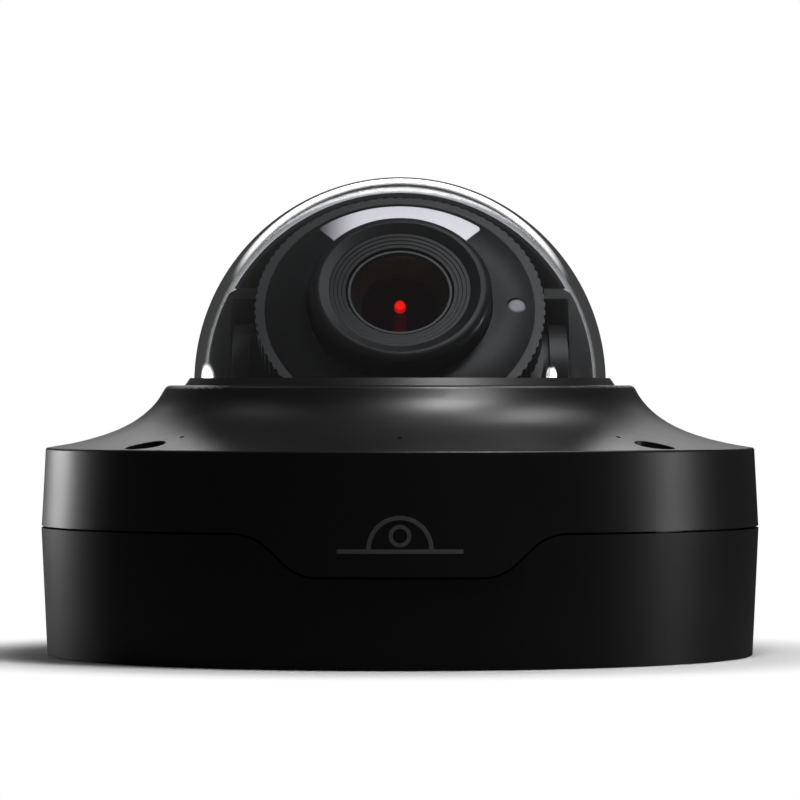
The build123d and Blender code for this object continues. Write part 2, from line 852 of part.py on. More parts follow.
# Rubber gland in the floor, where the network cable comes in.
with BuildPart() as cable_gland:
    gland_lip_radius = gland_neck_radius + gland_lip
    floor_under_z = base_floor_z - base_floor_wall
    with BuildSketch(Plane.XZ):
        with BuildLine():
            Polyline(
                (gland_bore_radius, floor_under_z - gland_lip_wall),
                (gland_lip_radius - gland_lip_taper, floor_under_z - gland_lip_wall),
                (gland_lip_radius, floor_under_z),
                (gland_neck_radius, floor_under_z),
                (gland_neck_radius, base_floor_z),
                (gland_lip_radius, base_floor_z),
                (gland_lip_radius - gland_lip_taper, base_floor_z + gland_lip_wall),
                (gland_bore_radius, base_floor_z + gland_lip_wall),
                close=True,
            )
        make_face()
    revolve(axis=Axis.Z)
cable_gland.part.label = "cable_gland"
cable_gland.part.position = (0, gland_y, 0)
export_step(cable_gland.part, "parts/cable_gland.step")

# Gasket between the base's rim and the cover's rib.
with BuildPart() as cover_gasket:
    with BuildSketch(Plane.XY.offset(base_rim_z)):
        add(rim_band(gasket_outer, gasket_outer - gasket_width, 0))
    extrude(amount=gasket_wall)
cover_gasket.part.label = "cover_gasket"
export_step(cover_gasket.part, "parts/cover_gasket.step")

# Main board: a ring round the pan tube, pierced for posts, cable and screwdriver.
with BuildPart() as main_board:
    with BuildSketch(Plane.XY.offset(main_board_z)):
        Circle(main_board_radius)
        Circle(tube_radius + board_tube_gap, mode=Mode.SUBTRACT)
        with Locations(*pan_post_points):
            Circle(pan_post_radius + board_gap, mode=Mode.SUBTRACT)
        with Locations(*board_screw_points):
            Circle(small_screw_clear, mode=Mode.SUBTRACT)
        with Locations(*base_screw_points):
            Circle(base_head_radius + board_gap, mode=Mode.SUBTRACT)
        with Locations((0, gland_y)):
            Circle(gland_lip_radius + board_gap, mode=Mode.SUBTRACT)
        with Locations(*screw_points):
            Circle(
                gasket_keepout + gasket_width + gasket_seat_edge + 2 * board_gap,
                mode=Mode.SUBTRACT,
            )
    extrude(amount=main_board_wall)
main_board.part.label = "main_board"
export_step(main_board.part, "parts/main_board.step")

# Four screws that hold the board.
with BuildPart() as board_screws:
    with BuildSketch(Plane.XY.offset(board_top_z)):
        with Locations(*board_screw_points):
            Circle(small_head_radius)
    extrude(amount=small_head_height)
    fillet(board_screws.edges().group_by(Axis.Z)[-1], small_head_round)
    with BuildSketch(Plane.XY.offset(board_top_z + small_head_height - small_slot_depth)):
        with Locations(*board_screw_points):
            Rectangle(small_slot_length, small_slot_width)
            Rectangle(small_slot_width, small_slot_length)
    extrude(amount=small_slot_depth, mode=Mode.SUBTRACT)
    with BuildSketch(Plane.XY.offset(board_top_z)):
        with Locations(*board_screw_points):
            Circle(small_screw_radius)
    extrude(amount=-main_board_wall - board_screw_grip)
board_screws.part.label = "board_screws"
export_step(board_screws.part, "parts/board_screws.step")

# Network jack, its socket facing +X.
with BuildPart() as network_jack:
    with BuildSketch(Plane.XY.offset(board_top_z)):
        with Locations((0, jack_y)):
            Rectangle(jack_length, jack_width)
    extrude(amount=jack_height)
    socket_plane = Plane(
        origin=(jack_length / 2, jack_y, board_top_z + jack_height / 2),
        x_dir=(0, 1, 0),
        z_dir=(1, 0, 0),
    )
    with BuildSketch(socket_plane):
        Rectangle(jack_socket_width, jack_socket_height)
        with Locations((0, -jack_socket_height / 2)):
            Rectangle(jack_socket_width / 2, jack_latch_depth)
    extrude(amount=-jack_socket_depth, mode=Mode.SUBTRACT)
network_jack.part.label = "network_jack"
export_step(network_jack.part, "parts/network_jack.step")

# Isolating transformer beside the jack.
with BuildPart() as line_transformer:
    with BuildSketch(Plane.XY.offset(board_top_z)):
        with Locations(transformer_place):
            Rectangle(transformer_length, transformer_width)
    extrude(amount=transformer_height)
    chamfer(line_transformer.edges().group_by(Axis.Z)[-1], component_round)
line_transformer.part.label = "line_transformer"
export_step(line_transformer.part, "parts/line_transformer.step")

# Two electrolytic capacitors.
with BuildPart() as capacitors:
    with BuildSketch(Plane.XY.offset(board_top_z)):
        with Locations(*capacitor_places):
            Circle(capacitor_radius)
    extrude(amount=capacitor_height)
    fillet(capacitors.edges().group_by(Axis.Z)[-1], component_round)
capacitors.part.label = "capacitors"
export_step(capacitors.part, "parts/capacitors.step")

# Processor and the finned spreader on it.
with BuildPart() as processor_chip:
    with BuildSketch(Plane.XY.offset(board_top_z)):
        with Locations((0, heat_spreader_y)):
            Rectangle(chip_size, chip_size)
    extrude(amount=chip_height)
processor_chip.part.label = "processor_chip"
export_step(processor_chip.part, "parts/processor_chip.step")

with BuildPart() as heat_spreader:
    fin_pitch = heat_spreader_size / fin_count
    with BuildSketch(Plane.XY.offset(board_top_z + chip_height)):
        with Locations((0, heat_spreader_y)):
            Rectangle(heat_spreader_size, heat_spreader_size)
    extrude(amount=heat_spreader_height)
    with BuildSketch(Plane.XY.offset(board_top_z + chip_height + fin_floor)):
        with Locations((0, heat_spreader_y)):
            with GridLocations(fin_pitch, 1, fin_count - 1, 1):
                Rectangle(fin_pitch - fin_wall, heat_spreader_size)
    extrude(amount=heat_spreader_height, mode=Mode.SUBTRACT)
heat_spreader.part.label = "heat_spreader"
export_step(heat_spreader.part, "parts/heat_spreader.step")

# Card socket with its slot towards +Y, and the memory card in it.
card_z = board_top_z + (card_socket_height - card_wall) / 2
card_y = card_socket_y + card_proud
with BuildPart() as card_socket:
    with BuildSketch(Plane.XY.offset(board_top_z)):
        with Locations((card_socket_x, card_socket_y)):
            Rectangle(card_width + 2 * card_socket_wall, card_length)
    extrude(amount=card_socket_height)
    with BuildSketch(Plane.XY.offset(card_z - slip)):
        with Locations((card_socket_x, card_y)):
            Rectangle(card_width + 2 * slip, card_length + 2 * slip)
    extrude(amount=card_wall + 2 * slip, mode=Mode.SUBTRACT)
card_socket.part.label = "card_socket"
export_step(card_socket.part, "parts/card_socket.step")

with BuildPart() as memory_card:
    with BuildSketch(Plane.XY.offset(card_z)):
        with Locations((card_socket_x, card_y)):
            Rectangle(card_width, card_length)
    extrude(amount=card_wall)
    fillet(memory_card.edges().filter_by(Axis.Z), card_corner)
memory_card.part.label = "memory_card"
export_step(memory_card.part, "parts/memory_card.step")

# Reset switch: a square body with a round plunger that is pressed down.
with BuildPart() as reset_switch:
    with BuildSketch(Plane.XY.offset(board_top_z)):
        with Locations((button_x, button_y)):
            Rectangle(button_size, button_size)
    extrude(amount=button_height)
    with BuildSketch(Plane.XY.offset(board_top_z + switch_floor)):
        with Locations((button_x, button_y)):
            Circle(button_radius + slip)
    extrude(amount=button_height, mode=Mode.SUBTRACT)
reset_switch.part.label = "reset_switch"
export_step(reset_switch.part, "parts/reset_switch.step")

with BuildPart() as reset_button:
    with BuildSketch(Plane.XY.offset(board_top_z + switch_floor + button_travel + slip)):
        with Locations((button_x, button_y)):
            Circle(button_radius)
    extrude(amount=button_height - switch_floor - button_travel - slip + button_rise)
    fillet(reset_button.edges().group_by(Axis.Z)[-1], button_round)
reset_button.part.label = "reset_button"
export_step(reset_button.part, "parts/reset_button.step")

with BuildPart() as status_led:
    with BuildSketch(Plane.XY.offset(board_top_z)):
        with Locations(led_place):
            Rectangle(led_length, led_width)
    extrude(amount=led_height)
status_led.part.label = "status_led"
export_step(status_led.part, "parts/status_led.step")

# Pouch that keeps the air behind the bubble dry.
with BuildPart() as desiccant_pack:
    with BuildSketch(Plane.XY.offset(board_top_z)):
        with Locations(desiccant_place):
            Rectangle(desiccant_length, desiccant_width)
    extrude(amount=desiccant_height)
    fillet(desiccant_pack.edges().group_by(Axis.Z)[-1], desiccant_round)
desiccant_pack.part.label = "desiccant_pack"
export_step(desiccant_pack.part, "parts/desiccant_pack.step")

# Slippery washer under the turntable.
with BuildPart() as pan_bearing:
    with BuildSketch(Plane.XY.offset(turntable_z - bearing_wall - running)):
        Circle(tube_radius)
        Circle(spigot_radius + running + slip, mode=Mode.SUBTRACT)
    extrude(amount=bearing_wall)
pan_bearing.part.label = "pan_bearing"
export_step(pan_bearing.part, "parts/pan_bearing.step")

# Ring that traps the turntable's flange, with its three screws.
with BuildPart() as pan_ring:
    with BuildSketch(Plane.XY.offset(pan_ring_z)):
        Circle(pan_ring_bore + pan_ring_width)
        Circle(pan_ring_bore, mode=Mode.SUBTRACT)
        with Locations(*pan_post_points):
            Circle(small_screw_clear, mode=Mode.SUBTRACT)
    extrude(amount=pan_ring_wall)
pan_ring.part.label = "pan_ring"
export_step(pan_ring.part, "parts/pan_ring.step")

with BuildPart() as pan_ring_screws:
    head_z = pan_ring_z + pan_ring_wall
    with BuildSketch(Plane.XY.offset(head_z)):
        with Locations(*pan_post_points):
            Circle(small_head_radius)
    extrude(amount=small_head_height)
    fillet(pan_ring_screws.edges().group_by(Axis.Z)[-1], small_head_round)
    with BuildSketch(Plane.XY.offset(head_z + small_head_height - small_slot_depth)):
        with Locations(*pan_post_points):
            Rectangle(small_slot_length, small_slot_width)
            Rectangle(small_slot_width, small_slot_length)
    extrude(amount=small_slot_depth, mode=Mode.SUBTRACT)
    with BuildSketch(Plane.XY.offset(head_z)):
        with Locations(*pan_post_points):
            Circle(small_screw_radius)
    extrude(amount=-pan_ring_wall - pan_screw_grip)
pan_ring_screws.part.label = "pan_ring_screws"
export_step(pan_ring_screws.part, "parts/pan_ring_screws.step")

# ---------------------------------------------------------------- pan body
# Turntable: a flanged disc with a spigot that turns in the base's tube.
with BuildPart() as turntable:
    with BuildSketch(Plane.XY.offset(turntable_z)):
        Circle(turntable_radius)
        Circle(spigot_bore_radius, mode=Mode.SUBTRACT)
    extrude(amount=turntable_wall)
    with BuildSketch(Plane.XY.offset(base_floor_z + spigot_lift)):
        Circle(spigot_radius)
        Circle(spigot_bore_radius, mode=Mode.SUBTRACT)
    extrude(amount=turntable_z - base_floor_z - spigot_lift)
turntable.part.label = "turntable"
export_step(turntable.part, "parts/turntable.step")


def cheek_outline(grow):
    """A cheek from the side: upright from the turntable, then tapered above the pivot."""
    with BuildSketch() as outline:
        with BuildLine():
            Polyline(
                (-cheek_pivot_half - grow, turntable_top_z),
                (-cheek_pivot_half - grow, bubble_centre_z),
                (-cheek_top_half - grow, cheek_top_z + grow),
                (cheek_top_half + grow, cheek_top_z + grow),
                (cheek_pivot_half + grow, bubble_centre_z),
                (cheek_pivot_half + grow, turntable_top_z),
                close=True,
            )
        make_face()
        fillet(outline.vertices().group_by(Axis.Y)[-1], cheek_corner)
    return outline.sketch


def ball_profile(radius):
    """Half of the upright space inside the bubble: a cylinder with a hemisphere on it."""
    with BuildSketch() as profile:
        with BuildLine():
            arc = CenterArc((0, bubble_centre_z), radius, 0, 90)
            Polyline(arc @ 0, (radius, turntable_top_z), (0, turntable_top_z), arc @ 1)
        make_face()
    return profile.sketch


# Yoke cheeks: an outer wall that follows the bubble, with a flange turned in at the top.
with BuildPart() as right_cheek:
    with BuildSketch(Plane.YZ.offset(cheek_flange_x)):
        add(cheek_outline(0))
    extrude(amount=yoke_radius - cheek_flange_x)
    with BuildSketch(Plane.XZ):
        add(ball_profile(yoke_radius))
    revolve(axis=Axis.Z, mode=Mode.INTERSECT)
    with BuildSketch(Plane.YZ.offset(cheek_flange_x)):
        with Locations((0, (turntable_top_z + cheek_top_z - cheek_flange_wall) / 2)):
            Rectangle(
                3 * cheek_pivot_half, cheek_top_z - cheek_flange_wall - turntable_top_z
            )
    extrude(amount=cheek_wall_x - cheek_flange_x, mode=Mode.SUBTRACT)
    chamfer_run = 2 * cheek_chamfer_drop
    with BuildSketch(Plane.XZ):
        with BuildLine():
            Polyline(
                (cheek_chamfer_x, cheek_top_z),
                (cheek_chamfer_x + 2 * chamfer_run, cheek_top_z - 2 * cheek_chamfer_drop),
                (cheek_chamfer_x + 2 * chamfer_run, cheek_top_z + overlap),
                (cheek_chamfer_x, cheek_top_z + overlap),
                close=True,
            )
        make_face()
    extrude(amount=cheek_pivot_half, both=True, mode=Mode.SUBTRACT)
    with BuildSketch(Plane.YZ.offset(cheek_wall_x)):
        with Locations((0, bubble_centre_z)):
            Circle(pivot_pin_radius + running)
    extrude(amount=yoke_radius - cheek_wall_x, mode=Mode.SUBTRACT)
    with BuildSketch(Plane.YZ.offset(yoke_radius - pivot_head_height - pivot_head_sink)):
        with Locations((0, bubble_centre_z)):
            Circle(pivot_head_radius + slip)
    extrude(amount=pivot_head_height + overlap, mode=Mode.SUBTRACT)
    front_face = right_cheek.faces().filter_by(Axis.Y).sort_by(Axis.Y)[0]
    inner_edges = front_face.edges().filter_by(Axis.Z)
    chamfer(inner_edges.filter_by(lambda e: abs(e.center().X - cheek_wall_x) < slip), cheek_bevel)
right_cheek.part.label = "right_cheek"
export_step(right_cheek.part, "parts/right_cheek.step")

with BuildPart() as left_cheek:
    mirror(right_cheek.part, about=Plane.YZ)
left_cheek.part.label = "left_cheek"
export_step(left_cheek.part, "parts/left_cheek.step")

# Pins that the ball tilts on, their heads sunk in the cheeks.
with BuildPart() as pivot_pins:
    with BuildSketch(Plane.YZ.offset(yoke_radius - pivot_head_height - pivot_head_sink)):
        with Locations((0, bubble_centre_z)):
            Circle(pivot_head_radius)
    extrude(amount=pivot_head_height)
    with BuildSketch(Plane.YZ.offset(yoke_radius - pivot_head_sink - pivot_slot_depth)):
        with Locations((0, bubble_centre_z)):
            Rectangle(pivot_slot_length, pivot_slot_width)
            Rectangle(pivot_slot_width, pivot_slot_length)
    extrude(amount=pivot_slot_depth, mode=Mode.SUBTRACT)
    with BuildSketch(Plane.YZ.offset(cradle_radius + pivot_pin_gap)):
        with Locations((0, bubble_centre_z)):
            Circle(pivot_pin_radius)
    extrude(amount=yoke_radius - pivot_head_height - pivot_head_sink - cradle_radius - pivot_pin_gap)
    mirror(about=Plane.YZ)
pivot_pins.part.label = "pivot_pins"
export_step(pivot_pins.part, "parts/pivot_pins.step")

# Friction washers between the hubs and the cheeks.
with BuildPart() as friction_washers:
    with BuildSketch(Plane.YZ.offset(hub_face_x + running)):
        with Locations((0, bubble_centre_z)):
            Circle(washer_radius)
            Circle(pivot_pin_radius + running, mode=Mode.SUBTRACT)
    extrude(amount=washer_wall)
    mirror(about=Plane.YZ)
friction_washers.part.label = "friction_washers"
export_step(friction_washers.part, "parts/friction_washers.step")

# Dark liner behind the ball: a thin upright shell whose front edge leans back over the top.
with BuildPart() as rear_liner:
    with BuildSketch(Plane.XZ):
        add(ball_profile(yoke_radius))
        add(ball_profile(liner_bore), mode=Mode.SUBTRACT)
    revolve(axis=Axis.Z)
    lean_run = yoke_radius * tan(radians(liner_lean))
    with BuildSketch(Plane.YZ):
        with BuildLine():
            Polyline(
                (-yoke_radius - overlap, turntable_top_z - overlap),
                (0, turntable_top_z - overlap),
                (0, bubble_centre_z),
                (2 * lean_run, bubble_centre_z + 2 * yoke_radius),
                (-yoke_radius - overlap, bubble_centre_z + 2 * yoke_radius),
                close=True,
            )
        make_face()
    extrude(amount=yoke_radius + overlap, both=True, mode=Mode.SUBTRACT)
    with BuildSketch(Plane.YZ):
        add(cheek_outline(2 * slip))
    extrude(amount=yoke_radius + overlap, both=True, mode=Mode.SUBTRACT)
rear_liner.part.label = "rear_liner"
export_step(rear_liner.part, "parts/rear_liner.step")

# ---------------------------------------------------------------- tilt body
# Cradle: a ring the ball rolls in, with a hub at each side for the pivot pins.
with BuildPart() as tilt_cradle:
    with BuildSketch(Plane.YZ):
        with Locations((0, bubble_centre_z)):
            Circle(hub_neck_radius)
    extrude(amount=hub_face_x, both=True)
    with BuildSketch(Plane.YZ.offset(hub_face_x)):
        with Locations((0, bubble_centre_z)):
            Circle(hub_radius)
    extrude(amount=-hub_thickness)
    with BuildSketch(Plane.YZ.offset(-hub_face_x)):
        with Locations((0, bubble_centre_z)):
            Circle(hub_radius)
    extrude(amount=hub_thickness)
    with BuildSketch(optic.offset(-cradle_half)):
        Circle(cradle_radius)
    extrude(amount=2 * cradle_half)
    with BuildSketch(optic.offset(-cradle_half - overlap)):
        Circle(cradle_bore)
    extrude(amount=2 * (cradle_half + overlap), mode=Mode.SUBTRACT)
    with BuildSketch(Plane.YZ):
        with Locations((0, bubble_centre_z)):
            Circle(pivot_pin_radius + running)
    extrude(amount=hub_face_x, both=True, mode=Mode.SUBTRACT)
tilt_cradle.part.label = "tilt_cradle"
export_step(tilt_cradle.part, "parts/tilt_cradle.step")

# ---------------------------------------------------------------- ball body
with BuildPart() as face_plate:
    # The face as a solid ring, shared by the front shell and the window that is cut from it.
    with BuildSketch(section):
        with BuildLine():
            face_mid_radius = (ball_radius + face_opening) / 2
            face_mid = (face_rim + face_inner) / 2 + face_bulge
            crown = ThreePointArc(
                (ball_radius, face_rim), (face_mid_radius, face_mid), (face_opening, face_inner)
            )
            Polyline(
                crown @ 1,
                (face_opening, face_inner - ball_wall),
                (ball_radius - ball_wall, face_rim - ball_wall),
                (ball_radius, face_rim - ball_wall),
                crown @ 0,
            )
        make_face()
    revolve(axis=optic_axis)

# Front shell: a tube with the face across it, pierced for hood, window and light sensor.
with BuildPart() as front_shell:
    add(face_plate.part)
    with BuildSketch(optic.offset(shell_joint)):
        Circle(ball_radius)
        Circle(ball_radius - ball_wall, mode=Mode.SUBTRACT)
    extrude(amount=face_rim - ball_wall - shell_joint)
    with BuildSketch(optic.offset(face_rim - window_cut_back)):
        add(ring_sector(window_inner, window_outer, window_half_angle, window_corner))
        with Locations((light_sensor_offset, 0)):
            Circle(light_sensor_radius + running)
    extrude(amount=window_cut_length, mode=Mode.SUBTRACT)
front_shell.part.label = "front_shell"
export_step(front_shell.part, "parts/front_shell.step")

# Crescent window over the lamps, a copy of the face with a hair of clearance all round.
with BuildPart() as face_window:
    add(face_plate.part)
    with BuildSketch(optic.offset(face_rim - window_cut_back)):
        add(
            ring_sector(
                window_inner + slip,
                window_outer - slip,
                window_half_angle - window_end_gap,
                window_corner - slip,
            )
        )
    extrude(amount=window_cut_length, mode=Mode.INTERSECT)
face_window.part.label = "face_window"
export_step(face_window.part, "parts/face_window.step")

with BuildPart() as light_sensor_lens:
    with BuildSketch(optic.offset(face_rim - light_sensor_back)):
        with Locations((light_sensor_offset, 0)):
            Circle(light_sensor_radius)
    extrude(amount=light_sensor_length)
    fillet(light_sensor_lens.faces().sort_by(optic_axis)[-1].edges(), lamp_round)
light_sensor_lens.part.label = "light_sensor_lens"
export_step(light_sensor_lens.part, "parts/light_sensor_lens.step")

# Scalloped grip ring round the face.
with BuildPart() as grip_rim:
    with BuildSketch(optic.offset(rim_back)):
        Circle(rim_radius)
        with PolarLocations(rim_radius - scallop_depth + scallop_radius, rim_scallops):
            Circle(scallop_radius, mode=Mode.SUBTRACT)
        Circle(ball_radius + running, mode=Mode.SUBTRACT)
    extrude(amount=rim_front - rim_back)
grip_rim.part.label = "grip_rim"
export_step(grip_rim.part, "parts/grip_rim.step")

# Rear shell: a cup that tapers towards the back, with posts for the sensor board.
with BuildPart() as rear_shell:
    taper = sqrt((ball_radius - ball_back_radius) ** 2 + (ball_back - ball_shoulder) ** 2)
    slope_in = ball_wall * (ball_shoulder - ball_back) / taper
    with BuildSketch(section):
        with BuildLine():
            Polyline(
                (0, ball_back),
                (ball_back_radius, ball_back),
                (ball_radius, ball_shoulder),
                (ball_radius, shell_joint),
                (ball_radius - ball_wall, shell_joint),
                (ball_radius - ball_wall, ball_shoulder),
                (ball_back_radius - slope_in, ball_back + ball_wall),
                (0, ball_back + ball_wall),
                close=True,
            )
        make_face()
    revolve(axis=optic_axis)
    post_foot = ball_back + sensor_post_lift
    with BuildSketch(optic.offset(post_foot)):
        with PolarLocations(sensor_board_radius - sensor_post_inset, 3, start_angle=90):
            Circle(sensor_post_radius)
    extrude(amount=lens_block_back - board_wall - post_foot)
    with BuildSketch(optic.offset(ball_back)):
        Circle(rear_hole_radius)
    extrude(amount=ball_wall + overlap, mode=Mode.SUBTRACT)
rear_shell.part.label = "rear_shell"
export_step(rear_shell.part, "parts/rear_shell.step")

# Hood: a short tube with a chamfered mouth and a stepped cone down to the lens.
with BuildPart() as lens_hood:
    cone_top = hood_front - hood_chamfer_depth
    cone_foot = barrel_front + hood_cone_gap
    step_run = (hood_cone_radius - hood_throat_radius) / hood_step_count
    step_drop = (cone_top - cone_foot) / hood_step_count
    steps = []
    for number in range(hood_step_count):
        radius = hood_cone_radius - number * step_run
        steps.append((radius, cone_top - number * step_drop))
        steps.append((radius - hood_step_taper, cone_top - (number + 1) * step_drop))
    with BuildSketch(section):
        with BuildLine():
            Polyline(
                (hood_throat_radius, hood_seat),
                (hood_radius + hood_flange, hood_seat),
                (hood_radius + hood_flange, hood_seat + hood_flange),
                (hood_radius, hood_seat + hood_flange),
                (hood_radius, hood_front),
                (hood_mouth_radius, hood_front),
                *steps,
                (hood_throat_radius, cone_foot),
                close=True,
            )
        make_face()
    revolve(axis=optic_axis)
    hood_edges = lens_hood.edges().filter_by(GeomType.CIRCLE)
    hood_edges = hood_edges.filter_by(lambda e: abs(e.radius - hood_radius) < 0.01)
    fillet(hood_edges.sort_by(optic_axis)[-1], hood_round)
lens_hood.part.label = "lens_hood"
export_step(lens_hood.part, "parts/lens_hood.step")

# Lamp board behind the window, and the infrared lamps on it.
lamp_board_at = hood_seat - lamp_board_drop
with BuildPart() as lamp_board:
    with BuildSketch(optic.offset(lamp_board_at)):
        add(
            ring_sector(
                hood_radius + lamp_board_gap,
                ball_radius - ball_wall - lamp_board_margin,
                lamp_board_half_angle,
                lamp_board_corner,
            )
        )
    extrude(amount=lamp_board_wall)
lamp_board.part.label = "lamp_board"
export_step(lamp_board.part, "parts/lamp_board.step")

with BuildPart() as infrared_lamps:
    with BuildSketch(optic.offset(lamp_board_at + lamp_board_wall)):
        with Locations(*[polar(lamp_circle_radius, 90 + turn) for turn in lamp_angles]):
            Circle(lamp_radius)
    extrude(amount=lamp_height)
    fillet(infrared_lamps.faces().group_by(optic_axis)[-1].edges(), lamp_round)
infrared_lamps.part.label = "infrared_lamps"
export_step(infrared_lamps.part, "parts/infrared_lamps.step")

# Lens barrel, open at the front for the large glass and stepped down behind it.
with BuildPart() as lens_barrel:
    with BuildSketch(section):
        with BuildLine():
            Polyline(
                (barrel_bore, lens_block_front),
                (barrel_radius, lens_block_front),
                (barrel_radius, barrel_front),
                (front_glass_radius + slip, barrel_front),
                (front_glass_radius + slip, front_glass_seat),
                (barrel_bore, front_glass_seat - barrel_cone),
                close=True,
            )
        make_face()
    revolve(axis=optic_axis)
lens_barrel.part.label = "lens_barrel"
export_step(lens_barrel.part, "parts/lens_barrel.step")

# Domed front glass.
with BuildPart() as front_glass:
    with BuildSketch(section):
        with BuildLine():
            dome = dome_arc(front_glass_radius, barrel_front - front_glass_sink, front_glass_rise)
            Polyline(
                dome @ 1,
                (0, front_glass_seat + front_glass_gap),
                (front_glass_radius, front_glass_seat + front_glass_gap),
                dome @ 0,
            )
        make_face()
    revolve(axis=optic_axis)
front_glass.part.label = "front_glass"
export_step(front_glass.part, "parts/front_glass.step")

# Smaller glass deeper in the barrel, and the iris plate behind it.
with BuildPart() as rear_glass:
    with BuildSketch(section):
        with BuildLine():
            dome = dome_arc(barrel_bore - slip, rear_glass_at, rear_glass_rise)
            Polyline(
                dome @ 1,
                (0, rear_glass_at - rear_glass_wall),
                (barrel_bore - slip, rear_glass_at - rear_glass_wall),
                dome @ 0,
            )
        make_face()
    revolve(axis=optic_axis)
rear_glass.part.label = "rear_glass"
export_step(rear_glass.part, "parts/rear_glass.step")

with BuildPart() as iris_plate:
    with BuildSketch(optic.offset(iris_position)):
        Circle(barrel_bore - slip)
        Circle(iris_hole_radius, mode=Mode.SUBTRACT)
    extrude(amount=iris_wall)
iris_plate.part.label = "iris_plate"
export_step(iris_plate.part, "parts/iris_plate.step")

# Block that carries the barrel over the sensor, slotted for the sliding filter.
filter_at = (lens_block_back + lens_block_front) / 2
with BuildPart() as lens_block:
    with BuildSketch(optic.offset(lens_block_back)):
        Rectangle(2 * lens_block_half_x, 2 * lens_block_half_y)
    extrude(amount=lens_block_front - lens_block_back)
    with BuildSketch(optic.offset(lens_block_back)):
        Rectangle(2 * sensor_half_x + sensor_margin, 2 * sensor_half_y + sensor_margin)
    extrude(amount=lens_block_front - lens_block_back, mode=Mode.SUBTRACT)
    with BuildSketch(optic.offset(filter_at - slip)):
        Rectangle(2 * (lens_block_half_x - lens_block_wall), 2 * (filter_half_y + slip))
    extrude(amount=filter_wall + 2 * slip, mode=Mode.SUBTRACT)
lens_block.part.label = "lens_block"
export_step(lens_block.part, "parts/lens_block.step")

# Filter slide: it carries an infrared-blocking glass by day and moves aside at night.
with BuildPart() as filter_slide:
    with BuildSketch(optic.offset(filter_at)):
        with Locations((filter_travel / 2, 0)):
            Rectangle(filter_travel + 2 * sensor_half_x + sensor_margin, 2 * filter_half_y)
    extrude(amount=filter_wall)
filter_slide.part.label = "filter_slide"
export_step(filter_slide.part, "parts/filter_slide.step")

with BuildPart() as image_sensor:
    with BuildSketch(optic.offset(lens_block_back)):
        Rectangle(2 * sensor_half_x, 2 * sensor_half_y)
    extrude(amount=sensor_height)
image_sensor.part.label = "image_sensor"
export_step(image_sensor.part, "parts/image_sensor.step")

with BuildPart() as sensor_board:
    with BuildSketch(optic.offset(lens_block_back - board_wall)):
        Circle(sensor_board_radius)
    extrude(amount=board_wall)
sensor_board.part.label = "sensor_board"
export_step(sensor_board.part, "parts/sensor_board.step")

# Zoom and focus rings turn on the barrel; each is driven by a small motor's pinion.
with BuildPart() as zoom_ring:
    with BuildSketch(optic.offset(zoom_ring_at)):
        with BuildLine():
            Polyline(*gear_outline(ring_teeth, zoom_motor_angle), close=True)
        make_face()
        Circle(barrel_radius + running, mode=Mode.SUBTRACT)
    extrude(amount=gear_width)
zoom_ring.part.label = "zoom_ring"
export_step(zoom_ring.part, "parts/zoom_ring.step")

with BuildPart() as focus_ring:
    with BuildSketch(optic.offset(focus_ring_at)):
        with BuildLine():
            Polyline(*gear_outline(ring_teeth, focus_motor_angle), close=True)
        make_face()
        Circle(barrel_radius + running, mode=Mode.SUBTRACT)
    extrude(amount=gear_width)
focus_ring.part.label = "focus_ring"
export_step(focus_ring.part, "parts/focus_ring.step")


def motor_plane(motor_angle, along):
    """The plane square to a motor's shaft, at a distance along the optical axis."""
    x, y = polar(gear_centres, motor_angle)
    level = optic.offset(along)
    return Plane(origin=level.from_local_coords((x, y, 0)), x_dir=optic.x_dir, z_dir=optic.z_dir)


# A gap between two of the pinion's teeth faces the ring.
half_tooth = 180 / pinion_teeth
with BuildPart() as zoom_pinion:
    with BuildSketch(motor_plane(zoom_motor_angle, zoom_ring_at)):
        with BuildLine():
            Polyline(
                *gear_outline(pinion_teeth, zoom_motor_angle + 180 + half_tooth), close=True
            )
        make_face()
    extrude(amount=gear_width)
    with BuildSketch(motor_plane(zoom_motor_angle, motor_front + slip)):
        Circle(motor_shaft_radius)
    extrude(amount=zoom_ring_at - motor_front - slip)
zoom_pinion.part.label = "zoom_pinion"
export_step(zoom_pinion.part, "parts/zoom_pinion.step")

with BuildPart() as focus_pinion:
    with BuildSketch(motor_plane(focus_motor_angle, focus_ring_at)):
        with BuildLine():
            Polyline(
                *gear_outline(pinion_teeth, focus_motor_angle + 180 + half_tooth), close=True
            )
        make_face()
    extrude(amount=gear_width)
    with BuildSketch(motor_plane(focus_motor_angle, motor_front + slip)):
        Circle(motor_shaft_radius)
    extrude(amount=focus_ring_at - motor_front - slip)
focus_pinion.part.label = "focus_pinion"
export_step(focus_pinion.part, "parts/focus_pinion.step")

with BuildPart() as zoom_motor:
    with BuildSketch(motor_plane(zoom_motor_angle, motor_back)):
        Circle(motor_radius)
    extrude(amount=motor_front - motor_back)
zoom_motor.part.label = "zoom_motor"
export_step(zoom_motor.part, "parts/zoom_motor.step")

with BuildPart() as focus_motor:
    with BuildSketch(motor_plane(focus_motor_angle, motor_back)):
        Circle(motor_radius)
    extrude(amount=motor_front - motor_back)
focus_motor.part.label = "focus_motor"
export_step(focus_motor.part, "parts/focus_motor.step")
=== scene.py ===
import math

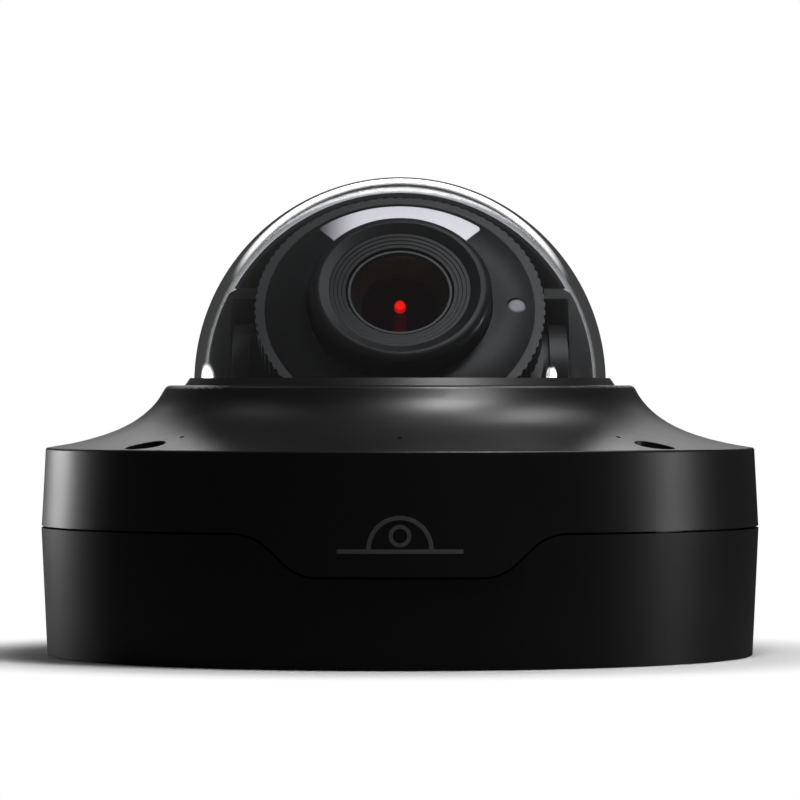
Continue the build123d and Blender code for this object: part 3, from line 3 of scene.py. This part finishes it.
import bpy
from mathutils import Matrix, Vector


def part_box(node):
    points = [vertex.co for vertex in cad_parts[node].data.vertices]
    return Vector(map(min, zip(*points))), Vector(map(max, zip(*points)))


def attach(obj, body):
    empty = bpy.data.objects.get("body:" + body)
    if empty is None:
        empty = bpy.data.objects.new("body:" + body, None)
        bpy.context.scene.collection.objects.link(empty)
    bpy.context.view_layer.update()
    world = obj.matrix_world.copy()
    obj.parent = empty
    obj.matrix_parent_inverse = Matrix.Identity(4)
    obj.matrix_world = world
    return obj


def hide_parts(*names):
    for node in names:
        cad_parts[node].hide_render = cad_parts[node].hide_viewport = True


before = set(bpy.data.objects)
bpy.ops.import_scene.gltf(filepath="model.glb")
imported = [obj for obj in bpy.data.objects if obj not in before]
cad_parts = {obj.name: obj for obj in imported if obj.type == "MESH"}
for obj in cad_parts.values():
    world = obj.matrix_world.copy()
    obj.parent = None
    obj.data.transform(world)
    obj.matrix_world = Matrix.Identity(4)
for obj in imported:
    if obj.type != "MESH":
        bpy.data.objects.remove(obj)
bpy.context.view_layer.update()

# A dome camera on a pale studio floor. Metres, +Z up through the bubble, the lens towards -Y.
MM = 0.001
# Points nearer than this are one point, in metres.
MERGE = 1e-6


# ---------------------------------------------------------------- helpers
def linear(code):
    """An sRGB hex colour as linear RGBA."""
    channels = [int(code[at:at + 2], 16) / 255 for at in (1, 3, 5)]
    return [c / 12.92 if c <= 0.04045 else ((c + 0.055) / 1.055) ** 2.4 for c in channels] + [1]


def add_node(tree, kind, inputs=None, **settings):
    """One shader node, with its settings, its values and what feeds it."""
    made = tree.nodes.new("ShaderNode" + kind)
    for name, value in settings.items():
        setattr(made, name, value)
    for name, value in (inputs or {}).items():
        if isinstance(value, bpy.types.NodeSocket):
            tree.links.new(value, made.inputs[name])
        else:
            made.inputs[name].default_value = value
    return made


def new_material(name):
    """An empty material and its tree."""
    made = bpy.data.materials.new(name)
    made.use_nodes = True
    made.node_tree.nodes.clear()
    return made, made.node_tree


def nothing_selected():
    for thing in bpy.context.selected_objects:
        thing.select_set(False)


def work_on(piece):
    """Makes one piece the only one selected, and active."""
    nothing_selected()
    piece.select_set(True)
    bpy.context.view_layer.objects.active = piece


def apply_modifier(piece, kind, **settings):
    """Adds a modifier and applies it at once."""
    work_on(piece)
    made = piece.modifiers.new(kind.title(), kind)
    for name, value in settings.items():
        setattr(made, name, value)
    bpy.ops.object.modifier_apply(modifier=made.name)


def settle(piece, name, body, material, smooth=40):
    """Applies a piece's place, names it, shades it, paints it and rides it on its body."""
    work_on(piece)
    bpy.ops.object.transform_apply(location=True, rotation=True, scale=True)
    bpy.ops.object.mode_set(mode="EDIT")
    bpy.ops.mesh.select_all(action="SELECT")
    bpy.ops.mesh.remove_doubles(threshold=MERGE)
    bpy.ops.mesh.normals_make_consistent(inside=False)
    bpy.ops.object.mode_set(mode="OBJECT")
    bpy.ops.object.shade_smooth_by_angle(angle=math.radians(smooth))
    piece.name = piece.data.name = name
    piece.data.materials.clear()
    piece.data.materials.append(material)
    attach(piece, body)
    return piece


def in_edit_mode(piece):
    """Goes into edit mode on one piece, with nothing in it selected."""
    work_on(piece)
    bpy.ops.object.mode_set(mode="EDIT")
    bpy.ops.mesh.select_all(action="DESELECT")


def join(pieces):
    """Makes several pieces one mesh."""
    work_on(pieces[0])
    for piece in pieces:
        piece.select_set(True)
    bpy.ops.object.join()
    return pieces[0]


def half_ball(radius, centre, segments, rings):
    """An open hemisphere, its flat side down, in mm."""
    nothing_selected()
    bpy.ops.mesh.primitive_uv_sphere_add(
        segments=segments, ring_count=rings, radius=radius * MM, location=(0, 0, centre * MM)
    )
    piece = bpy.context.object
    bpy.ops.object.transform_apply(location=True)
    in_edit_mode(piece)
    bpy.ops.mesh.select_all(action="SELECT")
    bpy.ops.mesh.bisect(
        plane_co=(0, 0, centre * MM), plane_no=(0, 0, 1), clear_inner=True, threshold=MERGE
    )
    bpy.ops.object.mode_set(mode="OBJECT")
    return piece


def extrude_rim(down, spread):
    """Extrudes the selected open rim by a drop in mm, and then scales it about the axis."""
    bpy.ops.mesh.extrude_edges_move(TRANSFORM_OT_translate={"value": (0, 0, -down * MM)})
    bpy.ops.transform.resize(value=(spread, spread, 1), center_override=(0, 0, 0))


# ---------------------------------------------------------------- materials
# How far apart gloss drifts on a painted or moulded skin, and how haze drifts in clear plastic.
DRIFT_SPACING = 30 * MM
HAZE_SPACING = 18 * MM
# The noise stays mostly between these two values, so they are stretched to the gloss range.
NOISE_LOW = 0.3
NOISE_HIGH = 0.7
# Gloss runs between these shares of a finish's roughness, on scratched metal and in clear plastic.
SCRATCH_LOW = 0.7
SCRATCH_HIGH = 1.3
HAZE_LOW = 0.5
HAZE_HIGH = 1.5
# How much paler a skin's grain tops and a board's second tone are.
GRAIN_LIFT = 1.5
BOARD_LIFT = 1.3
# Scratches and frosting, and the track spacing of a board. Finer ones would not show.
SCRATCH_SPACING = 0.5 * MM
TRACK_SPACING = 6 * MM


def painted(name, colour, grain, height, rough, spread):
    """A paint or moulded skin: fine even grain, and a slow drift in gloss and tone."""
    made, tree = new_material(name)
    place = add_node(tree, "TexCoord").outputs["Object"]
    fine = add_node(tree, "TexNoise", {"Vector": place, "Scale": 1 / (grain * MM), "Detail": 2})
    slow = add_node(tree, "TexNoise", {"Vector": place, "Scale": 1 / DRIFT_SPACING, "Detail": 3})
    gloss = add_node(tree, "MapRange", {
        "Value": slow.outputs["Fac"], "From Min": NOISE_LOW, "From Max": NOISE_HIGH,
        "To Min": rough - spread, "To Max": rough + spread,
    })
    tone = add_node(tree, "Mix", data_type="RGBA")
    tree.links.new(fine.outputs["Fac"], tone.inputs["Factor"])
    tone.inputs["A"].default_value = linear(colour)
    tone.inputs["B"].default_value = [c * GRAIN_LIFT for c in linear(colour)[:3]] + [1]
    bump = add_node(tree, "Bump", {
        "Height": fine.outputs["Fac"], "Distance": height * MM, "Strength": 1.0,
    })
    shader = add_node(tree, "BsdfPrincipled", {
        "Base Color": tone.outputs["Result"], "Roughness": gloss.outputs["Result"],
        "Normal": bump.outputs["Normal"], "IOR": 1.5,
    })
    add_node(tree, "OutputMaterial", {"Surface": shader.outputs["BSDF"]})
    return made


def metal(name, colour, rough, stretch, height=0.004):
    """A bare or plated metal: faint scratches drawn out along one way."""
    made, tree = new_material(name)
    place = add_node(tree, "TexCoord").outputs["Object"]
    drawn = add_node(tree, "Mapping", {"Vector": place, "Scale": stretch})
    lines = add_node(tree, "TexNoise", {"Vector": drawn.outputs["Vector"], "Scale": 1 / SCRATCH_SPACING})
    gloss = add_node(tree, "MapRange", {
        "Value": lines.outputs["Fac"], "To Min": rough * SCRATCH_LOW, "To Max": rough * SCRATCH_HIGH,
    })
    bump = add_node(tree, "Bump", {
        "Height": lines.outputs["Fac"], "Distance": height * MM, "Strength": 0.6,
    })
    shader = add_node(tree, "BsdfPrincipled", {
        "Base Color": linear(colour), "Metallic": 1.0,
        "Roughness": gloss.outputs["Result"], "Normal": bump.outputs["Normal"],
    })
    add_node(tree, "OutputMaterial", {"Surface": shader.outputs["BSDF"]})
    return made


def clear(name, colour, rough, ior, film=0.0):
    """Clear glass or plastic. Lamps reach through it, so that what it covers is lit."""
    made, tree = new_material(name)
    place = add_node(tree, "TexCoord").outputs["Object"]
    haze = add_node(tree, "TexNoise", {"Vector": place, "Scale": 1 / HAZE_SPACING, "Detail": 2})
    gloss = add_node(tree, "MapRange", {
        "Value": haze.outputs["Fac"], "To Min": rough * HAZE_LOW, "To Max": rough * HAZE_HIGH,
    })
    shader = add_node(tree, "BsdfPrincipled", {
        "Base Color": linear(colour), "Roughness": gloss.outputs["Result"], "IOR": ior,
        "Transmission Weight": 1.0, "Thin Film Thickness": film,
    })
    passing = add_node(tree, "BsdfTransparent", {"Color": linear(colour)})
    lamp_ray = add_node(tree, "LightPath").outputs["Is Shadow Ray"]
    mixed = add_node(tree, "MixShader", {
        0: lamp_ray, 1: shader.outputs["BSDF"], 2: passing.outputs["BSDF"],
    })
    add_node(tree, "OutputMaterial", {"Surface": mixed.outputs["Shader"]})
    return made


def laminate(name, mask, copper):
    """A circuit board: solder mask over copper that shows as slightly lighter tracks."""
    made, tree = new_material(name)
    place = add_node(tree, "TexCoord").outputs["Object"]
    tracks = add_node(tree, "TexBrick", {
        "Vector": place, "Scale": 1 / TRACK_SPACING, "Mortar Size": 0.06, "Color1": linear(mask),
        "Color2": [c * BOARD_LIFT for c in linear(mask)[:3]] + [1], "Mortar": linear(copper),
    })
    shader = add_node(tree, "BsdfPrincipled", {
        "Base Color": tracks.outputs["Color"], "Roughness": 0.35, "Coat Weight": 0.4,
    })
    add_node(tree, "OutputMaterial", {"Surface": shader.outputs["BSDF"]})
    return made


# Cast aluminium under a satin black powder coat: a soft sheen broken by a fine even grain.
powder_black = painted("powder_coat_satin_black", "#0d0d0e", 0.35, 0.005, 0.36, 0.03)
# Moulded ABS, lightly spark-textured: a little duller than the paint.
abs_black = painted("abs_moulded_black", "#0f0f10", 0.3, 0.004, 0.42, 0.04)
# Moulded ABS out of a polished tool: the face and cheeks take clean highlights.
abs_gloss = painted("abs_polished_black", "#0b0b0c", 0.5, 0.0015, 0.22, 0.03)
# Thin formed sheet, very dark blue: reads as a deep field behind the ball.
sheet_navy = painted("polystyrene_formed_navy", "#12111e", 0.6, 0.002, 0.5, 0.05)
# Black rubber: matt with a faint bloom.
rubber_black = painted("rubber_moulded_black", "#1c1c1d", 0.25, 0.006, 0.75, 0.05)
# White acetal for washers and gears: a waxy, off-white skin with a low gloss.
acetal_white = painted("acetal_moulded_white", "#d9d8d2", 0.4, 0.002, 0.38, 0.04)
# Black epoxy of chips and transformers: a dark grey with a half-matt, slightly grainy skin.
epoxy_black = painted("epoxy_moulded_black", "#1d1e1f", 0.2, 0.004, 0.5, 0.05)
# Spunbond pouch: matt and papery, its grain deep enough to catch side light.
pouch_white = painted("spunbond_pouch_white", "#d6d6d0", 0.3, 0.03, 0.8, 0.05)
# Black anodised, turned aluminium: the hood and the spreader.
anodised_black = painted("aluminium_anodised_black", "#0c0c0d", 0.22, 0.002, 0.3, 0.03)
# Zinc plated steel plate: cool grey, with faint lines along the way it was rolled.
zinc_steel = metal("steel_zinc_plated", "#b9bcc0", 0.32, (1, 14, 1))
# Stainless steel of screws: bright, with fine turning marks round the shank.
stainless = metal("steel_stainless_turned", "#b4b2ad", 0.22, (1, 1, 14))
# Blackened steel of the pivot pins: a dark metal that still takes a sharp highlight.
steel_black = metal("steel_blackened", "#3a3a3d", 0.35, (1, 14, 1))
# Drawn aluminium cans of motors and capacitors: pale and soft, streaked along their height.
drawn_can = metal("aluminium_drawn_can", "#c3c5c8", 0.3, (1, 1, 10))
# Clear hard-coated polycarbonate: colourless, with crisp reflections and a bright rim.
polycarbonate = clear("polycarbonate_moulded_clear", "#f6f8fa", 0.01, 1.58)
# Clear epoxy of lamps: slightly smoky, with a softened reflection.
epoxy_clear = clear("epoxy_moulded_clear", "#dfe2e6", 0.05, 1.5)
# Coated lens glass: lets the dark barrel through, with a faint tint from its thin film.
lens_coated = clear("optical_glass_coated", "#b9a9b0", 0.005, 1.6, 300)
# Circuit boards under solder mask: satin green or black, with paler tracks showing through.
board_green = laminate("laminate_solder_mask_green", "#0d4a2a", "#1f7a45")
board_black = laminate("laminate_solder_mask_black", "#131417", "#24262b")
# Frosted acrylic of the crescent window: pale, a little pink, scatters what is behind it.
acrylic_frost, frost_tree = new_material("acrylic_frosted_pale")
# Its left end is darkened with painted shade, standing in for a dark reflection: the distance from the
# middle where the painted shade ends and where it is full.
shade_full_at = -19 * MM
shade_ends_at = -8 * MM
frost_place = add_node(frost_tree, "TexCoord").outputs["Object"]
across = add_node(frost_tree, "SeparateXYZ", {"Vector": frost_place}).outputs["X"]
left_end_shade = add_node(frost_tree, "MapRange", {
    "Value": across, "From Min": shade_full_at, "From Max": shade_ends_at,
}, interpolation_type="SMOOTHSTEP").outputs["Result"]
frost_tone = add_node(frost_tree, "Mix", {"Factor": left_end_shade}, data_type="RGBA")
# A is the painted shade at the window's left end, standing in for a dark reflection; B is the acrylic's
# own pale tone.
frost_tone.inputs["A"].default_value = linear("#2a2629")
frost_tone.inputs["B"].default_value = linear("#e6e1e4")
frost_grain = add_node(frost_tree, "TexNoise", {"Vector": frost_place, "Scale": 1 / SCRATCH_SPACING})
frost_bump = add_node(frost_tree, "Bump", {
    "Height": frost_grain.outputs["Fac"], "Distance": 0.004 * MM, "Strength": 1.0,
})
frost_shader = add_node(frost_tree, "BsdfPrincipled", {
    "Base Color": frost_tone.outputs["Result"], "Roughness": 0.35, "IOR": 1.49,
    "Normal": frost_bump.outputs["Normal"], "Subsurface Weight": 0.15,
    "Subsurface Scale": 1.5 * MM,
})
add_node(frost_tree, "OutputMaterial", {"Surface": frost_shader.outputs["BSDF"]})

# Tinted acrylic over the light sensor: milky grey with a polished dome.
acrylic_grey = painted("acrylic_polished_grey", "#77787b", 0.6, 0.001, 0.12, 0.02)
# Grey pad-printed ink: matt, a little uneven.
print_grey = painted("ink_pad_printed_grey", "#5c5c5e", 0.3, 0.003, 0.6, 0.05)
# A painted red reflection deep in the lens: red epoxy made to glow, brightest where it is thickest.
red_glint_paint, red_tree = new_material("epoxy_red_painted_glint")
edge = add_node(red_tree, "LayerWeight", {"Blend": 0.4}).outputs["Facing"]
glow = add_node(red_tree, "MapRange", {"Value": edge, "To Min": 2.6, "To Max": 0.5})
red_shader = add_node(red_tree, "BsdfPrincipled", {
    "Base Color": linear("#7a0606"), "Roughness": 0.2, "Emission Color": linear("#ff1408"),
    "Emission Strength": glow.outputs["Result"],
})
add_node(red_tree, "OutputMaterial", {"Surface": red_shader.outputs["BSDF"]})

node_finish = {
    "top_cover": powder_black, "base_housing": powder_black, "dome_bubble": polycarbonate,
    "bubble_trim": abs_black, "bubble_seal": rubber_black, "bubble_retainer": abs_black,
    "retainer_screws": stainless, "cover_screws": stainless, "microphones": epoxy_black,
    "mounting_plate": zinc_steel, "base_screws": stainless, "cable_gland": rubber_black,
    "cover_gasket": rubber_black, "main_board": board_green, "board_screws": stainless,
    "network_jack": zinc_steel, "line_transformer": epoxy_black, "capacitors": drawn_can,
    "processor_chip": epoxy_black, "heat_spreader": anodised_black, "card_socket": zinc_steel,
    "memory_card": epoxy_black, "reset_switch": epoxy_black, "reset_button": acetal_white,
    "status_led": epoxy_clear, "desiccant_pack": pouch_white, "pan_bearing": acetal_white,
    "pan_ring": abs_black, "pan_ring_screws": stainless, "turntable": abs_black,
    "left_cheek": abs_gloss, "right_cheek": abs_gloss, "pivot_pins": steel_black,
    "friction_washers": acetal_white, "rear_liner": sheet_navy, "tilt_cradle": abs_black,
    "front_shell": abs_gloss, "face_window": acrylic_frost, "light_sensor_lens": acrylic_grey,
    "grip_rim": abs_black, "rear_shell": abs_black, "lens_hood": anodised_black,
    "lamp_board": board_black, "infrared_lamps": epoxy_clear, "lens_barrel": epoxy_black,
    "front_glass": lens_coated, "rear_glass": lens_coated, "iris_plate": anodised_black,
    "lens_block": epoxy_black, "filter_slide": epoxy_black, "image_sensor": epoxy_black,
    "sensor_board": board_green, "zoom_ring": acetal_white, "focus_ring": acetal_white,
    "zoom_pinion": acetal_white, "focus_pinion": acetal_white, "zoom_motor": drawn_can,
    "focus_motor": drawn_can,
}
for node, finish in node_finish.items():
    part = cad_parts[node]
    part.data.materials.clear()
    part.data.materials.append(finish)

# ---------------------------------------------------------------- clear bubble
bubble_low, bubble_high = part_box("dome_bubble")
bubble_radius = 45.0
bubble_bore = 43.0
flange_wall = 2.5
bubble_centre = bubble_high.z / MM - bubble_radius
flange_radius = bubble_high.x / MM
flange_foot = bubble_low.z / MM
neck = bubble_centre - flange_foot - flange_wall
bubble_segments = 160
bubble_rings = 80

bubble = half_ball(bubble_radius, bubble_centre, bubble_segments, bubble_rings)
in_edit_mode(bubble)
bpy.ops.mesh.select_non_manifold()
extrude_rim(neck, 1.0)
extrude_rim(0, flange_radius / bubble_radius)
extrude_rim(flange_wall, 1.0)
extrude_rim(0, bubble_bore / flange_radius)
bpy.ops.object.mode_set(mode="OBJECT")
bore = half_ball(bubble_bore, bubble_centre, bubble_segments, bubble_rings)
bubble = join([bubble, bore])
in_edit_mode(bubble)
bpy.ops.mesh.select_non_manifold()
bpy.ops.mesh.bridge_edge_loops()
bpy.ops.object.mode_set(mode="OBJECT")
settle(bubble, "clear_bubble", "cover", polycarbonate, 30)
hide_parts("dome_bubble")

# ---------------------------------------------------------------- red glint behind the lens: a glowing piece, a painted reflection
# The lens looks up by this angle at rest, and the glowing piece stands this far out along that line.
lens_rise = math.radians(36)
glint_at = 26.2
glint_radius = 1.1
glint_collar = 0.9
glint_foot_share = 0.7
glint_segments = 32
glint_rings = 16
# This glowing piece is no lamp: its red glow is a painted reflection deep in the lens.
lamp = half_ball(glint_radius, 0, glint_segments, glint_rings)
in_edit_mode(lamp)
bpy.ops.mesh.select_non_manifold()
extrude_rim(glint_collar, 1.0)
extrude_rim(0, glint_foot_share)
bpy.ops.mesh.edge_face_add()
bpy.ops.mesh.select_all(action="SELECT")
look = Vector((0, -math.cos(lens_rise), math.sin(lens_rise)))
turn = Vector((0, 0, 1)).rotation_difference(look)
bpy.ops.object.mode_set(mode="OBJECT")
lamp.rotation_mode = "QUATERNION"
lamp.rotation_quaternion = turn
lamp.location = Vector((0, 0, bubble_centre * MM)) + look * glint_at * MM
settle(lamp, "red_painted_glint", "ball", red_glint_paint, 30)

# ---------------------------------------------------------------- printed pictogram
# A dome over a bar, with a ring for the lens: a plain sign for a dome camera.
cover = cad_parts["top_cover"]
mark_z = 24.4
# The flat mark starts this far in front of the axis, in metres, before it is laid on the wall.
mark_start = -0.1
bar_length = 26
bar_height = 0.9
bar_steps = 60
arch_radius = 6.9
arch_stroke = 0.9
arch_foot = 0.45
arch_points = 96
lens_ring_radius = 2.3
lens_ring_stroke = 0.8
lens_ring_height = 3.2
lens_ring_points = 64
ink_lift = 0.03
ink_thickness = 0.02


def flat_ring(radius, stroke, height, points):
    """A flat ring facing the front, its centre at a height over the bar, in mm."""
    nothing_selected()
    bpy.ops.mesh.primitive_circle_add(
        vertices=points, radius=radius * MM, fill_type="NGON",
        location=(0, mark_start, (mark_z + height) * MM), rotation=(math.pi / 2, 0, 0),
    )
    ring = bpy.context.object
    bpy.ops.object.transform_apply(location=True, rotation=True)
    in_edit_mode(ring)
    bpy.ops.mesh.select_all(action="SELECT")
    bpy.ops.mesh.inset(thickness=stroke * MM)
    bpy.ops.mesh.delete(type="FACE")
    bpy.ops.object.mode_set(mode="OBJECT")
    return ring


arch = flat_ring(arch_radius, arch_stroke, arch_foot, arch_points)
in_edit_mode(arch)
bpy.ops.mesh.select_all(action="SELECT")
bpy.ops.mesh.bisect(
    plane_co=(0, 0, (mark_z + arch_foot) * MM), plane_no=(0, 0, 1), clear_inner=True,
    threshold=MERGE,
)
bpy.ops.object.mode_set(mode="OBJECT")
ring = flat_ring(lens_ring_radius, lens_ring_stroke, lens_ring_height, lens_ring_points)
nothing_selected()
bpy.ops.mesh.primitive_grid_add(
    x_subdivisions=bar_steps, y_subdivisions=1, size=1,
    location=(0, mark_start, mark_z * MM), rotation=(math.pi / 2, 0, 0),
)
bar = bpy.context.object
bar.scale = (bar_length * MM, bar_height * MM, 1)
bpy.ops.object.transform_apply(location=True, rotation=True, scale=True)
mark = join([bar, arch, ring])
apply_modifier(
    mark, "SHRINKWRAP", target=cover, wrap_method="PROJECT", use_project_y=True,
    use_positive_direction=True, use_negative_direction=True, offset=ink_lift * MM,
)
apply_modifier(mark, "SOLIDIFY", thickness=ink_thickness * MM, offset=1.0)
settle(mark, "dome_pictogram", "cover", print_grey, 30)

# ---------------------------------------------------------------- floor, light and camera
# The floor's size and its gap under the object, in metres.
FLOOR_SIZE = 14
FLOOR_GAP = 0.0002
# How bright the room is to everything that doesn't see it directly.
ROOM_STRENGTH = 0.055
# A ray with a glossy depth over this has been mirrored at least once.
ONE_MIRROR = 0.5
# A light's own fade from its middle to its edges, as shares of its width, and its middle's gain.
FADE_FROM = 0.1
FADE_TO = 0.5
MIDDLE_GAIN = 1.6


def seen_directly(tree):
    """1 for what is seen straight or through clear plastic, and 0 for what is mirrored."""
    rays = add_node(tree, "LightPath")
    through = add_node(tree, "Math", {
        0: rays.outputs["Is Camera Ray"], 1: rays.outputs["Is Transmission Ray"],
    }, operation="MAXIMUM")
    unmirrored = add_node(tree, "Math", {
        0: rays.outputs["Glossy Depth"], 1: ONE_MIRROR,
    }, operation="LESS_THAN")
    seen = add_node(tree, "Math", {
        0: through.outputs["Value"], 1: unmirrored.outputs["Value"],
    }, operation="MULTIPLY")
    return seen.outputs["Value"]


# The floor fades into the pale backdrop a hand's breadth from the object.
FADE_NEAR = 0.08
FADE_FAR = 0.12
bpy.ops.mesh.primitive_plane_add(size=FLOOR_SIZE, location=(0, 0, -FLOOR_GAP))
floor = bpy.context.object
floor.name = "studio_floor"
floor_paint, floor_tree = new_material("studio_floor_pale")
floor_place = add_node(floor_tree, "TexCoord").outputs["Object"]
away = add_node(floor_tree, "VectorMath", {0: floor_place}, operation="LENGTH")
fade = add_node(floor_tree, "MapRange", {
    "Value": away.outputs["Value"], "From Min": FADE_NEAR, "From Max": FADE_FAR,
}, interpolation_type="SMOOTHSTEP")
near_floor = add_node(floor_tree, "BsdfDiffuse", {"Color": linear("#f2f2f2")})
far_floor = add_node(floor_tree, "Emission", {"Color": linear("#ffffff"), "Strength": 1.0})
dim_floor = add_node(floor_tree, "BsdfDiffuse", {"Color": linear("#5a5a5a")})
shown_floor = add_node(floor_tree, "MixShader", {
    0: fade.outputs["Result"], 1: near_floor.outputs["BSDF"], 2: far_floor.outputs["Emission"],
})
whole_floor = add_node(floor_tree, "MixShader", {
    0: seen_directly(floor_tree), 1: dim_floor.outputs["BSDF"], 2: shown_floor.outputs["Shader"],
})
add_node(floor_tree, "OutputMaterial", {"Surface": whole_floor.outputs["Shader"]})
floor.data.materials.append(floor_paint)

world = bpy.data.worlds.new("studio")
bpy.context.scene.world = world
world.use_nodes = True
sky = world.node_tree
sky.nodes.clear()
backdrop = add_node(sky, "Background", {"Color": linear("#ffffff"), "Strength": 1.0})
room = add_node(sky, "Background", {"Color": linear("#ffffff"), "Strength": ROOM_STRENGTH})
surroundings = add_node(sky, "MixShader", {
    0: seen_directly(sky), 1: room.outputs["Background"], 2: backdrop.outputs["Background"],
})
add_node(sky, "OutputWorld", {"Surface": surroundings.outputs["Shader"]})

# Where every light points, in metres: close to the bubble's centre.
middle = Vector((0, 0, 0.06))

# The ball's and the skirt's own lights leave no patch on the bubble.
off_bubble = bpy.data.collections.new("lights_pass_bubble")
off_bubble.objects.link(bubble)
for member in off_bubble.collection_objects:
    member.light_linking.link_state = "EXCLUDE"


def soft_light(name, place, width, height, watts, on_bubble=True):
    """A rectangular studio light that faces the object and fades towards its edges."""
    light = bpy.data.lights.new(name, "AREA")
    light.shape = "RECTANGLE"
    light.size, light.size_y = width, height
    light.energy = watts
    light.use_nodes = True
    tree = light.node_tree
    tree.nodes.clear()
    across = add_node(tree, "NewGeometry").outputs["Parametric"]
    from_middle = add_node(tree, "VectorMath", {0: across, 1: (0.5, 0.5, 0)}, operation="DISTANCE")
    fade = add_node(tree, "MapRange", {
        "Value": from_middle.outputs["Value"], "From Min": FADE_FROM, "From Max": FADE_TO,
        "To Min": MIDDLE_GAIN, "To Max": 0.0,
    }, interpolation_type="SMOOTHSTEP")
    glow = add_node(tree, "Emission", {"Strength": fade.outputs["Result"]})
    add_node(tree, "OutputLight", {"Surface": glow.outputs["Emission"]})
    holder = bpy.data.objects.new(name, light)
    holder.location = place
    holder.rotation_euler = (middle - Vector(place)).to_track_quat("-Z", "Y").to_euler()
    bpy.context.scene.collection.objects.link(holder)
    if not on_bubble:
        holder.light_linking.receiver_collection = off_bubble


# Place in metres, width and height in metres, then watts.
soft_light("back_rim_box", (0.0, 0.9, 0.42), 1.2, 0.2, 2)
soft_light("skirt_box", (0.38, 0.34, 0.9), 0.5, 0.5, 2.8, on_bubble=False)
soft_light("skirt_left_box", (-0.45, 0.3, 0.85), 0.4, 0.4, 0.3, on_bubble=False)
soft_light("left_band_box", (-0.66, 0.71, 0.07), 0.34, 0.12, 1.2)
soft_light("right_band_box", (0.95, 0.05, 0.1), 0.12, 0.14, 1.3)
soft_light("face_box", (0.06, -0.085, 0.29), 0.09, 0.09, 0.6, on_bubble=False)
soft_light("overhead_right_box", (0.34, -0.26, 0.86), 0.34, 0.5, 4, on_bubble=False)

camera = bpy.data.cameras.new("camera")
# A long lens, level with the bubble's centre, looking almost straight ahead.
camera.sensor_width = 36
camera.lens = 253
camera_place = Vector((0, -1.230, 0.0581))
camera_aim = Vector((0, 0, 0.0553))
viewer = bpy.data.objects.new("camera", camera)
viewer.location = camera_place
viewer.rotation_euler = (
    camera_aim - camera_place
).to_track_quat("-Z", "Y").to_euler()
bpy.context.scene.collection.objects.link(viewer)
bpy.context.scene.camera = viewer
bpy.context.scene.view_settings.view_transform = "Standard"
